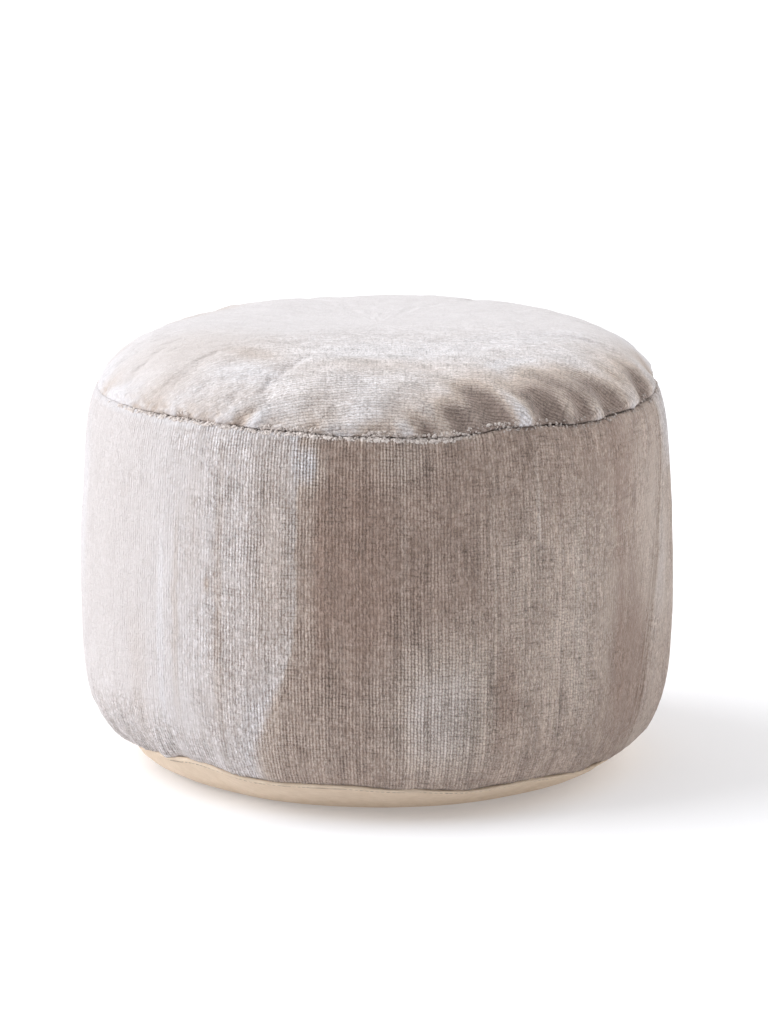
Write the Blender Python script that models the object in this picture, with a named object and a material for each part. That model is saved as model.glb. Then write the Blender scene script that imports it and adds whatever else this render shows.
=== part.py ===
"""Cylinder pouf: a round floor cushion, sewn from three cuts of cloth and packed firm.

A round top panel of ribbed pile cloth, a band of the same cloth whose two ends meet in one
upright seam, and a plain canvas base panel meet in two round seams. The pouf is filled, so each
cut is built with the filling right behind it: the three solids part at the heights of the seams.

Units are metres, +Z is up, and the origin is the middle of the face that rests on the floor.
An azimuth is measured around +Z from the front (-Y), positive towards the right (+X).
"""

import math
from collections import namedtuple

import bmesh
import bpy
from mathutils import Vector

# Driving dimensions
WIDEST_RADIUS = 0.255
TOP_SEAM_HEIGHT = 0.325
TOP_SEAM_RADIUS = 0.2368
BASE_SEAM_HEIGHT = 0.0305
BASE_SEAM_RADIUS = 0.2320
SEAM_GAP = 0.0003

# Facets around each panel
SEGMENTS = 180

# The crown of the top panel, from the seam to near its middle: radius, and rise over the seam.
CrownStation = namedtuple("CrownStation", "radius rise")
CROWN = (
    CrownStation(TOP_SEAM_RADIUS, 0.0000),
    CrownStation(0.2382, 0.0030),
    CrownStation(0.2360, 0.0080),
    CrownStation(0.2308, 0.0150),
    CrownStation(0.2222, 0.0238),
    CrownStation(0.2092, 0.0325),
    CrownStation(0.1912, 0.0405),
    CrownStation(0.1660, 0.0463),
    CrownStation(0.1300, 0.0497),
    CrownStation(0.0880, 0.0510),
    CrownStation(0.0440, 0.0514),
)
CROWN_RISE = 0.0515

# The band between its seams: share of the height, and radius.
BandStation = namedtuple("BandStation", "share radius")
BAND = (
    BandStation(0.000, BASE_SEAM_RADIUS),
    BandStation(0.012, 0.2358),
    BandStation(0.040, 0.2412),
    BandStation(0.090, 0.2476),
    BandStation(0.170, 0.2522),
    BandStation(0.270, 0.2542),
    BandStation(0.385, WIDEST_RADIUS),
    BandStation(0.500, 0.2547),
    BandStation(0.615, 0.2534),
    BandStation(0.725, 0.2514),
    BandStation(0.825, 0.2495),
    BandStation(0.905, 0.2470),
    BandStation(0.955, 0.2438),
    BandStation(0.985, 0.2404),
    BandStation(1.000, TOP_SEAM_RADIUS),
)

# The canvas base, from the floor up to its seam: radius, and share of the seam's height.
BaseStation = namedtuple("BaseStation", "radius share")
BASE = (
    BaseStation(0.1780, 0.00),
    BaseStation(0.1895, 0.05),
    BaseStation(0.2012, 0.20),
    BaseStation(0.2132, 0.44),
    BaseStation(0.2236, 0.74),
    BaseStation(0.2302, 0.94),
    BaseStation(BASE_SEAM_RADIUS, 1.00),
)

# How far each round seam strays from level: azimuth in degrees, and rise.
SeamWave = namedtuple("SeamWave", "azimuth rise")
TOP_SEAM_WAVE = (
    SeamWave(-175, -0.0010),
    SeamWave(-145, 0.0018),
    SeamWave(-112, -0.0014),
    SeamWave(-82, 0.0006),
    SeamWave(-53, 0.0017),
    SeamWave(-38, 0.0028),
    SeamWave(-18, 0.0014),
    SeamWave(0, -0.0012),
    SeamWave(12, -0.0030),
    SeamWave(28, 0.0021),
    SeamWave(46, -0.0030),
    SeamWave(64, -0.0020),
    SeamWave(84, 0.0008),
    SeamWave(118, -0.0016),
    SeamWave(150, 0.0014),
)
BASE_SEAM_WAVE = (
    SeamWave(-170, 0.0020),
    SeamWave(-140, -0.0018),
    SeamWave(-108, 0.0024),
    SeamWave(-76, -0.0006),
    SeamWave(-52, 0.0030),
    SeamWave(-41, 0.0078),
    SeamWave(-25, 0.0004),
    SeamWave(-8, 0.0018),
    SeamWave(5, -0.0008),
    SeamWave(20, -0.0048),
    SeamWave(33, -0.0032),
    SeamWave(47, -0.0060),
    SeamWave(72, -0.0022),
    SeamWave(104, 0.0026),
    SeamWave(142, -0.0030),
)

# Puckers where the top panel is eased onto its seam: azimuth, half width and lean in degrees,
# depth at the seam's side, and how far over the crown the fold runs. Lean turns its inner end.
Pucker = namedtuple("Pucker", "azimuth half_width depth reach lean")
TOP_PUCKERS = (
    Pucker(-168, 4.6, 0.0034, 0.050, 3),
    Pucker(-151, 3.4, 0.0040, 0.036, -4),
    Pucker(-129, 5.2, 0.0032, 0.062, 2),
    Pucker(-113, 3.6, 0.0042, 0.040, 5),
    Pucker(-92, 4.8, 0.0030, 0.055, -3),
    Pucker(-74, 3.4, 0.0034, 0.034, 2),
    Pucker(-54, 4.6, 0.0026, 0.060, 6),
    Pucker(-29, 2.6, 0.0052, 0.044, 4),
    Pucker(-14, 5.0, 0.0014, 0.070, 5),
    Pucker(-1, 3.6, 0.0022, 0.022, 0),
    Pucker(11, 2.4, 0.0036, 0.024, -2),
    Pucker(18, 2.7, 0.0052, 0.046, -4),
    Pucker(25, 2.9, 0.0056, 0.066, -7),
    Pucker(37, 3.4, 0.0056, 0.044, -3),
    Pucker(45, 2.5, 0.0046, 0.036, 0),
    Pucker(55, 3.2, 0.0050, 0.052, -4),
    Pucker(69, 3.0, 0.0044, 0.050, 2),
    Pucker(88, 4.4, 0.0034, 0.046, -3),
    Pucker(106, 3.2, 0.0042, 0.058, 4),
    Pucker(124, 4.8, 0.0030, 0.042, -4),
    Pucker(143, 3.6, 0.0040, 0.054, 3),
    Pucker(161, 3.0, 0.0044, 0.038, -2),
)

# Tucks in the foot of the band, where it is drawn onto the canvas; reach is up the band.
BASE_TUCKS = (
    Pucker(-162, 3.6, 0.0026, 0.034, 0),
    Pucker(-134, 3.0, 0.0030, 0.028, 0),
    Pucker(-101, 4.2, 0.0024, 0.040, 0),
    Pucker(-78, 3.0, 0.0028, 0.030, 0),
    Pucker(-53, 2.4, 0.0036, 0.026, 0),
    Pucker(-45, 2.4, 0.0034, 0.024, 0),
    Pucker(-26, 2.8, 0.0024, 0.030, 0),
    Pucker(-4, 3.6, 0.0014, 0.026, 0),
    Pucker(24, 3.0, 0.0018, 0.030, 0),
    Pucker(52, 3.4, 0.0026, 0.036, 0),
    Pucker(83, 3.0, 0.0030, 0.030, 0),
    Pucker(117, 4.0, 0.0024, 0.038, 0),
    Pucker(149, 3.0, 0.0030, 0.028, 0),
)

# The shoulders that a fold pushes up beside its trough
SHOULDER_SHARE = 0.42
SHOULDER_OFFSET = 1.9

# The seam holds the top panel: the share of a pucker's depth left there, and how far from the
# seam the pucker reaches its full depth.
HELD_SHARE = 0.35
HELD_REACH = 0.010

# Broad unevenness of the filling: lobes around, their size, place and twist over the height.
Lobe = namedtuple("Lobe", "waves size azimuth twist")
FILL_LOBES = (
    Lobe(2, 0.0009, -70, 60),
    Lobe(3, 0.0008, 25, -80),
    Lobe(5, 0.0007, 150, 90),
    Lobe(8, 0.0004, 10, -140),
)

# Lumps and hollows of the crown: place, radius and rise.
Lump = namedtuple("Lump", "x y radius rise")
CROWN_LUMPS = (
    Lump(0.125, 0.060, 0.090, 0.0022),
    Lump(-0.120, 0.060, 0.090, -0.0016),
    Lump(-0.040, -0.110, 0.085, 0.0018),
    Lump(0.095, -0.120, 0.070, -0.0018),
    Lump(-0.010, 0.020, 0.080, -0.0022),
)

# How fast towards the middle of the crown the filling's swell and the seam's wave die out, and
# how fast from the seam inwards the lumps come up: powers of the share of the way.
SWELL_FADE = 2
SEAM_WAVE_FADE = 4
LUMP_FADE = 2

# The upright seam that closes the band leans: its azimuth at the foot and at the top, and how
# much it bends towards the top.
CLOSING_SEAM_FOOT = 59.0
CLOSING_SEAM_TOP = 73.5
CLOSING_SEAM_BEND = 1.3
# The column of facets that follows it, and how far on each side others are drawn over with it
CLOSING_SEAM_COLUMN = 66.0
CLOSING_SEAM_PULL = 26.0
# Its groove: depth, half width in degrees, and how bluntly it ends at the round seams
CLOSING_SEAM_DEPTH = 0.0026
CLOSING_SEAM_HALF_WIDTH = 1.6
CLOSING_SEAM_BLUNTNESS = 0.35

# Facets that meet at more than this angle, in degrees, keep a crisp edge.
SHARP_ANGLE = 50

Finish = namedtuple("Finish", "red green blue roughness")
PILE_CLOTH = Finish(0.42, 0.35, 0.31, 0.9)
CANVAS = Finish(0.60, 0.48, 0.36, 0.85)


def turn_between(azimuth, other):
    """The shortest turn from other to azimuth, in degrees."""
    return (azimuth - other + 180.0) % 360.0 - 180.0


def seam_rise(wave, azimuth):
    """The smooth rise of a seam at an azimuth, eased between the rows of its table."""
    for low, high in zip(wave, wave[1:] + wave[:1]):
        span = (high.azimuth - low.azimuth) % 360.0
        along = (azimuth - low.azimuth) % 360.0
        if along <= span:
            share = 0.5 - 0.5 * math.cos(math.pi * along / span)
            return low.rise + (high.rise - low.rise) * share
    return 0.0


def fold_depth(fold, azimuth, distance):
    """How far one fold draws the cloth in, at a distance from the seam that it starts on."""
    if distance >= fold.reach:
        return 0.0
    share = distance / fold.reach
    fade = (1.0 - share * share) ** 2
    off = turn_between(azimuth, fold.azimuth + fold.lean * share) / fold.half_width
    trough = math.exp(-off * off)
    shoulders = math.exp(-((abs(off) - SHOULDER_OFFSET) ** 2))
    return fold.depth * fade * (trough - SHOULDER_SHARE * shoulders)


def folds_depth(folds, azimuth, distance):
    """How far all the folds of a table draw the cloth in."""
    return sum(fold_depth(fold, azimuth, distance) for fold in folds)


def fill_swell(azimuth, height):
    """The filling's broad unevenness as a change of radius."""
    share = height / TOP_SEAM_HEIGHT
    swell = 0.0
    for lobe in FILL_LOBES:
        phase = lobe.waves * (azimuth - lobe.azimuth) + lobe.twist * share
        swell += lobe.size * math.cos(math.radians(phase))
    return swell


def crown_lump(x, y):
    """The lumps and hollows of the crown as a rise."""
    return sum(
        lump.rise * math.exp(-((x - lump.x) ** 2 + (y - lump.y) ** 2) / lump.radius**2)
        for lump in CROWN_LUMPS
    )


def at(azimuth, radius, height):
    """The point at an azimuth, radius and height."""
    angle = math.radians(azimuth)
    return Vector((radius * math.sin(angle), -radius * math.cos(angle), height))


def azimuths():
    """The azimuths of the facets, anticlockwise from above."""
    return [360.0 * step / SEGMENTS for step in range(SEGMENTS)]


def top_seam_point(azimuth, offset):
    """A point of the top seam, moved up by offset."""
    height = TOP_SEAM_HEIGHT + seam_rise(TOP_SEAM_WAVE, azimuth)
    return at(azimuth, TOP_SEAM_RADIUS + fill_swell(azimuth, height), height + offset)


def base_seam_point(azimuth, offset):
    """A point of the base seam, moved up by offset."""
    height = BASE_SEAM_HEIGHT + seam_rise(BASE_SEAM_WAVE, azimuth)
    return at(azimuth, BASE_SEAM_RADIUS + fill_swell(azimuth, height), height + offset)


def crown_point(azimuth, station, slope, distance):
    """A point of the crown. Slope is the cloth's tilt there, and distance its way from the seam."""
    nearness = station.radius / TOP_SEAM_RADIUS
    held = 0.5 + 0.5 * math.cos(math.pi * min(distance / HELD_REACH, 1.0))
    drawn = folds_depth(TOP_PUCKERS, azimuth, distance) * (1.0 - (1.0 - HELD_SHARE) * held)
    swell = fill_swell(azimuth, TOP_SEAM_HEIGHT) * nearness**SWELL_FADE
    radius = station.radius + swell - drawn * math.cos(slope)
    seam = TOP_SEAM_HEIGHT + seam_rise(TOP_SEAM_WAVE, azimuth) * nearness**SEAM_WAVE_FADE
    angle = math.radians(azimuth)
    lump = crown_lump(radius * math.sin(angle), -radius * math.cos(angle))
    lift = lump * (station.rise / CROWN_RISE) ** LUMP_FADE
    return at(azimuth, radius, seam + station.rise + lift - drawn * math.sin(slope))


def crown_rings():
    """The rings of the crown above its seam, each with the cloth's slope there."""
    rings = []
    distance = 0.0
    apex = CrownStation(0.0, CROWN_RISE)
    for below, station, above in zip(CROWN, CROWN[1:], CROWN[2:] + (apex,)):
        distance += math.hypot(station.radius - below.radius, station.rise - below.rise)
        # The outward normal leans from level at the seam to upright over the crown
        slope = math.atan2(below.radius - above.radius, above.rise - below.rise)
        slope = min(max(slope, 0.0), math.pi / 2)
        rings.append([crown_point(azimuth, station, slope, distance) for azimuth in azimuths()])
    return rings


def closing_seam_pull(azimuth, share):
    """The azimuth of a band column, drawn over so that one column follows the closing seam."""
    off = turn_between(azimuth, CLOSING_SEAM_COLUMN)
    if abs(off) >= CLOSING_SEAM_PULL:
        return azimuth
    lean = CLOSING_SEAM_TOP - CLOSING_SEAM_FOOT
    target = CLOSING_SEAM_FOOT + lean * share**CLOSING_SEAM_BEND
    window = 0.5 + 0.5 * math.cos(math.pi * off / CLOSING_SEAM_PULL)
    return azimuth + (target - CLOSING_SEAM_COLUMN) * window


def band_point(column, station):
    """A point of the band, on the column that stands at an azimuth."""
    azimuth = closing_seam_pull(column, station.share)
    low = base_seam_point(azimuth, SEAM_GAP / 2).z
    high = top_seam_point(azimuth, -SEAM_GAP / 2).z
    height = low + (high - low) * station.share
    off = turn_between(column, CLOSING_SEAM_COLUMN) / CLOSING_SEAM_HALF_WIDTH
    # The groove fades at both ends, where the round seams draw the cloth in already
    fade = max(0.0, math.sin(math.pi * station.share)) ** CLOSING_SEAM_BLUNTNESS
    groove = CLOSING_SEAM_DEPTH * math.exp(-off * off) * fade
    tuck = folds_depth(BASE_TUCKS, azimuth, height - low) if station.share > 0.0 else 0.0
    swell = fill_swell(azimuth, height)
    return at(azimuth, station.radius + swell - groove - tuck, height)


def base_point(azimuth, station):
    """A point of the canvas base."""
    seam = base_seam_point(azimuth, -SEAM_GAP / 2)
    swell = fill_swell(azimuth, seam.z) * station.share
    return at(azimuth, station.radius + swell, seam.z * station.share)


def cloth_material(name, finish):
    """A plain material in a cloth's colour."""
    material = bpy.data.materials.new(name)
    material.use_nodes = True
    shader = material.node_tree.nodes["Principled BSDF"]
    shader.inputs["Base Color"].default_value = (finish.red, finish.green, finish.blue, 1.0)
    shader.inputs["Roughness"].default_value = finish.roughness
    shader.inputs["Metallic"].default_value = 0.0
    return material


def lofted_solid(name, rings, low_middle, high_middle, material):
    """A closed solid through rings from low to high, capped at both ends.

    A middle point gives a cap its own point to fan from; None leaves the cap one flat face.
    """
    bm = bmesh.new()
    loops = [[bm.verts.new(point) for point in ring] for ring in rings]
    for lower, upper in zip(loops, loops[1:]):
        for step in range(SEGMENTS):
            after = (step + 1) % SEGMENTS
            bm.faces.new((lower[step], lower[after], upper[after], upper[step]))
    for loop, middle, outward in ((loops[0], low_middle, -1), (loops[-1], high_middle, 1)):
        ordered = loop if outward > 0 else loop[::-1]
        if middle is None:
            bm.faces.new(ordered)
            continue
        tip = bm.verts.new(middle)
        for first, second in zip(ordered, ordered[1:] + ordered[:1]):
            bm.faces.new((first, second, tip))
    bm.normal_update()
    mesh = bpy.data.meshes.new(name)
    bm.to_mesh(mesh)
    bm.free()
    mesh.shade_smooth()
    mesh.set_sharp_from_angle(angle=math.radians(SHARP_ANGLE))
    mesh.materials.append(material)
    solid = bpy.data.objects.new(name, mesh)
    bpy.context.scene.collection.objects.link(solid)
    return solid


def build_top_panel(material):
    """The round top panel: crown, eased folds, and the filling down to the seam's level."""
    seam = [top_seam_point(azimuth, SEAM_GAP / 2) for azimuth in azimuths()]
    middle = Vector((0.0, 0.0, TOP_SEAM_HEIGHT + SEAM_GAP / 2))
    apex = Vector((0.0, 0.0, TOP_SEAM_HEIGHT + CROWN_RISE + crown_lump(0.0, 0.0)))
    return lofted_solid("top_panel", [seam] + crown_rings(), middle, apex, material)


def build_side_band(material):
    """The band: drawn in at both seams, swelling between them, with its closing seam's groove."""
    rings = [[band_point(column, station) for column in azimuths()] for station in BAND]
    low = Vector((0.0, 0.0, BASE_SEAM_HEIGHT + SEAM_GAP / 2))
    high = Vector((0.0, 0.0, TOP_SEAM_HEIGHT - SEAM_GAP / 2))
    return lofted_solid("side_band", rings, low, high, material)


def build_base_panel(material):
    """The canvas base: flat where it rests, then turning up under the band."""
    rings = [[base_point(azimuth, station) for azimuth in azimuths()] for station in BASE]
    high = Vector((0.0, 0.0, BASE_SEAM_HEIGHT - SEAM_GAP / 2))
    return lofted_solid("base_panel", rings, None, high, material)


def main():
    """Empties the scene and builds the pouf's three panels."""
    for leftover in list(bpy.data.objects):
        bpy.data.objects.remove(leftover)
    pile_cloth = cloth_material("pile_cloth", PILE_CLOTH)
    canvas = cloth_material("canvas", CANVAS)
    build_top_panel(pile_cloth)
    build_side_band(pile_cloth)
    build_base_panel(canvas)


main()
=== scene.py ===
"""Looks of the cylinder pouf: two cuts of ribbed pile cloth and a canvas base over a firm filling.

The round top panel and the side band are the same hand-loomed pile cloth. On the band its ribs
stand upright, and on the top they run from left to right. Both are eased into a narrow round
seam, the band closes in one upright seam on its right, and a plain canvas base shows as a
crescent at the foot.

Units are metres, +Z is up, and the origin is the middle of the face that rests on the floor.
An azimuth is in degrees around +Z from the front (-Y), positive towards the right (+X).
"""

from __future__ import annotations

import logging
import math
from dataclasses import dataclass, field
from enum import Enum
from typing import Callable, NamedTuple, Sequence

import bpy
import numpy as np
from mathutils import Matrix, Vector

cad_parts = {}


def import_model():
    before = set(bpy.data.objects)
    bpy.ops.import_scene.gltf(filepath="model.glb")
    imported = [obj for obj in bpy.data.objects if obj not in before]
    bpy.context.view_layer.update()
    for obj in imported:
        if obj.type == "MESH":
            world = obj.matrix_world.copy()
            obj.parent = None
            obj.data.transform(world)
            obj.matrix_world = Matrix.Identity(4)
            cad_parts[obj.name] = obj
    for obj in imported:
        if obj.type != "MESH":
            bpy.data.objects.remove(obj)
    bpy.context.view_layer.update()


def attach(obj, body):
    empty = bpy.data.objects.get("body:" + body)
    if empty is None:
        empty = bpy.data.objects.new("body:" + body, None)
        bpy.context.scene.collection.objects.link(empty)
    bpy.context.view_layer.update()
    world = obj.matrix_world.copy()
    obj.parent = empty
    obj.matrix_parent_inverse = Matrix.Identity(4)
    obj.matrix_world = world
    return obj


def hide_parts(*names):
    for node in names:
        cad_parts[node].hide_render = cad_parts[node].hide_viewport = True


LOG = logging.getLogger("pouf")
BODY = "root"

Array = np.ndarray
Colour = tuple[float, float, float, float]
Socket = bpy.types.NodeSocket
Thing = bpy.types.Object


class Station(NamedTuple):
    """A point of a turned profile: its radius, and its height over the profile's foot."""

    radius: float
    rise: float


class Wave(NamedTuple):
    """How far a round seam strays from level at an azimuth."""

    azimuth: float
    rise: float


class Fold(NamedTuple):
    """A pucker or tuck: its place, half width, depth at the seam, reach and lean (degrees)."""

    azimuth: float
    half_width: float
    depth: float
    reach: float
    lean: float = 0


class Lobe(NamedTuple):
    """A broad unevenness of the filling: lobes around, size, place and twist over the height."""

    waves: int
    size: float
    azimuth: float
    twist: float


class Lump(NamedTuple):
    """A lump or hollow of the crown: its place, radius and rise."""

    x: float
    y: float
    radius: float
    rise: float


class BandNap(NamedTuple):
    """A stroke of the band's nap: its middle, half sizes (degrees and metres), tone and edge."""

    azimuth: float
    height: float
    half_turn: float
    half_height: float
    tone: float
    edge: float = 4


class NapEdge(NamedTuple):
    """An upright edge where the nap turns over, and how light the pile is to its right.

    It stands at one azimuth above and at another below, and crosses over within reach of a step.
    """

    above: float
    below: float
    step: float
    reach: float
    blur: float
    tone: float


class TopNap(NamedTuple):
    """A stroke of the top's nap: its middle, half lengths, turn in degrees and tone."""

    x: float
    y: float
    half_length: float
    half_width: float
    turn: float
    tone: float


class Window(NamedTuple):
    """A stretch of azimuths: its middle, its half width and how square it is."""

    middle: float
    half: float
    power: int = 4

    def at(self, azimuth: Array) -> Array:
        """1 inside the stretch, fading to 0 outside."""
        return np.exp(-((turn_between(azimuth, self.middle) / self.half) ** self.power))


class ClothSide(Enum):
    """Which of the two round seams a piece belongs to."""

    TOP = "top"
    BASE = "base"


def table(kind: Callable[..., NamedTuple], *rows: Sequence[float]) -> tuple:
    """The rows of a table, each as one of a kind."""
    return tuple(kind(*row) for row in rows)


def turn_between(azimuth: Array, other: Array | float) -> Array:
    """The shortest turn from other to azimuth, in degrees."""
    return (azimuth - other + 180.0) % 360.0 - 180.0


def turns(columns: int, rows: int, more: int = 0) -> Array:
    """Even azimuths by row and column, with more columns where the cloth is cut open."""
    return np.tile(np.arange(columns + more) * 360.0 / columns, (rows, 1))


def around(azimuth: Array, radius: Array | float, height: Array | float) -> Array:
    """Points at azimuths, radii and heights, as an array whose last axis is X, Y, Z."""
    angle = np.radians(azimuth)
    places = radius * np.sin(angle), -radius * np.cos(angle), height
    return np.stack(np.broadcast_arrays(*places), axis=-1)


def eased(value: Array) -> Array:
    """A smooth step from 0 to 1 over the unit span."""
    share = np.clip(value, 0.0, 1.0)
    return share * share * (3.0 - 2.0 * share)


def linked(name: str, data: bpy.types.ID) -> Thing:
    """A new object in the scene."""
    made = bpy.data.objects.new(name, data)
    bpy.context.scene.collection.objects.link(made)
    return made


def stand_back(holder: Thing, target: Vector, back: Vector, distance: float) -> None:
    """Stands a light or camera back from its target and turns it to face it."""
    holder.location = target + back * distance
    holder.rotation_mode = "QUATERNION"
    holder.rotation_quaternion = (-back).to_track_quat("-Z", "Y")


class RingNoise:
    """Smooth seeded unevenness, periodic around the pouf and free over a second direction."""

    def __init__(self, knots: int, rows: int, seed: int) -> None:
        """Draws the values of the knots: so many around and so many rows of them."""
        self.values = np.random.default_rng(seed).uniform(-1.0, 1.0, (knots, rows + 1))

    def at(self, azimuth: Array, share: Array | float = 0.0) -> Array:
        """The unevenness, -1 to 1.

        Args:
            azimuth: degrees around.
            share: 0 to 1 over the second direction.

        Returns:
            The values at those places.
        """
        knots, rows = self.values.shape
        turn = (azimuth / 360.0 % 1.0) * knots
        lift = np.clip(share, 0.0, 1.0) * (rows - 1)
        column = np.floor(turn).astype(int)
        row = np.minimum(np.floor(lift).astype(int), max(rows - 2, 0))
        across, up = eased(turn - column), eased(lift - row)
        near, after = column % knots, (column + 1) % knots
        over = np.minimum(row + 1, rows - 1)
        low = self.values[near, row] * (1 - across) + self.values[after, row] * across
        high = self.values[near, over] * (1 - across) + self.values[after, over] * across
        return low * (1 - up) + high * up


class ProfileCurve:
    """A smooth curve through the stations of a turned profile, measured along the cloth."""

    STEPS = 40
    SAMPLES = 4000

    def __init__(self, stations: Sequence[Station], level_end: bool = False) -> None:
        """Runs a Catmull-Rom curve through the stations.

        Args:
            stations: the profile's points in order.
            level_end: whether the last station is on the axis, where the curve lies level.
        """
        points = np.array(stations, float)
        after = points[-2] * (-1.0, 1.0) if level_end else 2.0 * points[-1] - points[-2]
        guides = np.vstack([2.0 * points[0] - points[1], points, after])
        pieces = []
        for first in range(len(points) - 1):
            near = guides[first : first + 4]
            steps = [math.sqrt(float(np.linalg.norm(q - p))) for p, q in zip(near, near[1:])]
            knots = np.cumsum([0.0] + steps)
            along = np.linspace(knots[1], knots[2], self.STEPS, endpoint=False)[:, None]
            ab, bc, cd = (
                self.mixed(near[k], near[k + 1], knots[[k, k + 1]], along) for k in range(3)
            )
            abc = self.mixed(ab, bc, knots[[0, 2]], along)
            bcd = self.mixed(bc, cd, knots[[1, 3]], along)
            pieces.append(self.mixed(abc, bcd, knots[[1, 2]], along))
        self.line = np.vstack(pieces + [points[-1:]])
        steps = np.linalg.norm(np.diff(self.line, axis=0), axis=1)
        self.distance = np.concatenate([[0.0], np.cumsum(steps)])
        self.length = float(self.distance[-1])
        slope = np.gradient(self.line, axis=0)
        slope /= np.linalg.norm(slope, axis=1)[:, None]
        self.outward = np.stack([slope[:, 1], -slope[:, 0]], axis=1)

    @staticmethod
    def mixed(low: Array, high: Array, span: Array, along: Array) -> Array:
        """A blend from low to high along a span of the curve's own measure."""
        return ((span[1] - along) * low + (along - span[0]) * high) / (span[1] - span[0])

    def at(self, distance: Array) -> tuple[Array, Array]:
        """The radius and rise at distances along the cloth."""
        return tuple(np.interp(distance, self.distance, self.line[:, axis]) for axis in (0, 1))

    def normal(self, distance: Array) -> tuple[Array, Array]:
        """How far outward and upward the cloth faces at distances along it."""
        return tuple(np.interp(distance, self.distance, self.outward[:, axis]) for axis in (0, 1))

    def rows(self, count: int, fine: float, coarse: float, blend: float) -> Array:
        """Distances of a mesh's rows, closer together near both ends.

        Args:
            count: how many rows.
            fine: their spacing at the ends, before it is fitted to the count.
            coarse: their spacing between.
            blend: how far from an end the fine spacing reaches.

        Returns:
            The distances as a column, from 0 to the curve's length.
        """
        place = np.linspace(0.0, self.length, self.SAMPLES)
        near = np.exp(-place / blend) + np.exp(-(self.length - place) / blend)
        density = 1.0 / coarse + (1.0 / fine - 1.0 / coarse) * near
        total = np.concatenate([[0.0], np.cumsum((density[1:] + density[:-1]) / 2.0)])
        return np.interp(np.linspace(0.0, total[-1], count), total, place)[:, None]


@dataclass(frozen=True)
class SeamLooks:
    """Where the pile closes over the round seams, and the painted shade in their gaps."""

    matted_left: Window = Window(-92.0, 40.0, 6)
    matted_right: Window = Window(130.0, 30.0)
    right_share: float = 0.4
    dots: tuple[RingNoise, RingNoise] = (RingNoise(760, 1, 28), RingNoise(170, 1, 29))
    gaps: tuple[RingNoise, RingNoise] = (RingNoise(130, 1, 32), RingNoise(420, 1, 35))
    open_base: Window = Window(-30.0, 32.0)

    def matting(self, azimuth: Array) -> Array:
        """How far the pile has closed over the top seam, 0 to 1."""
        right = self.right_share * self.matted_right.at(azimuth)
        return np.minimum(self.matted_left.at(azimuth) + right, 1.0)

    def top_seam_shade(self, azimuth: Array) -> Array:
        """The painted shade in the top seam's groove: broken into dots, and faint where it is
        matted.
        """
        dots = self.dots[0].at(azimuth) * 0.35 + self.dots[1].at(azimuth) * 0.25
        right = 1.0 - 0.45 * eased((turn_between(azimuth, 15.0)) / 25.0)
        return np.clip(0.70 + dots, 0.1, 0.95) * (1.0 - self.matting(azimuth)) ** 1.5 * right

    def lip_gap_shade(self, azimuth: Array) -> Array:
        """The painted shade in the gaps under the canvas's lip: plain at the front left."""
        gaps = self.gaps[0].at(azimuth) * 0.95 + self.gaps[1].at(azimuth) * 0.35
        gaps = np.clip(0.35 + gaps, 0.0, 1.0)
        return (0.30 + 0.70 * self.open_base.at(azimuth)) * gaps


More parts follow.
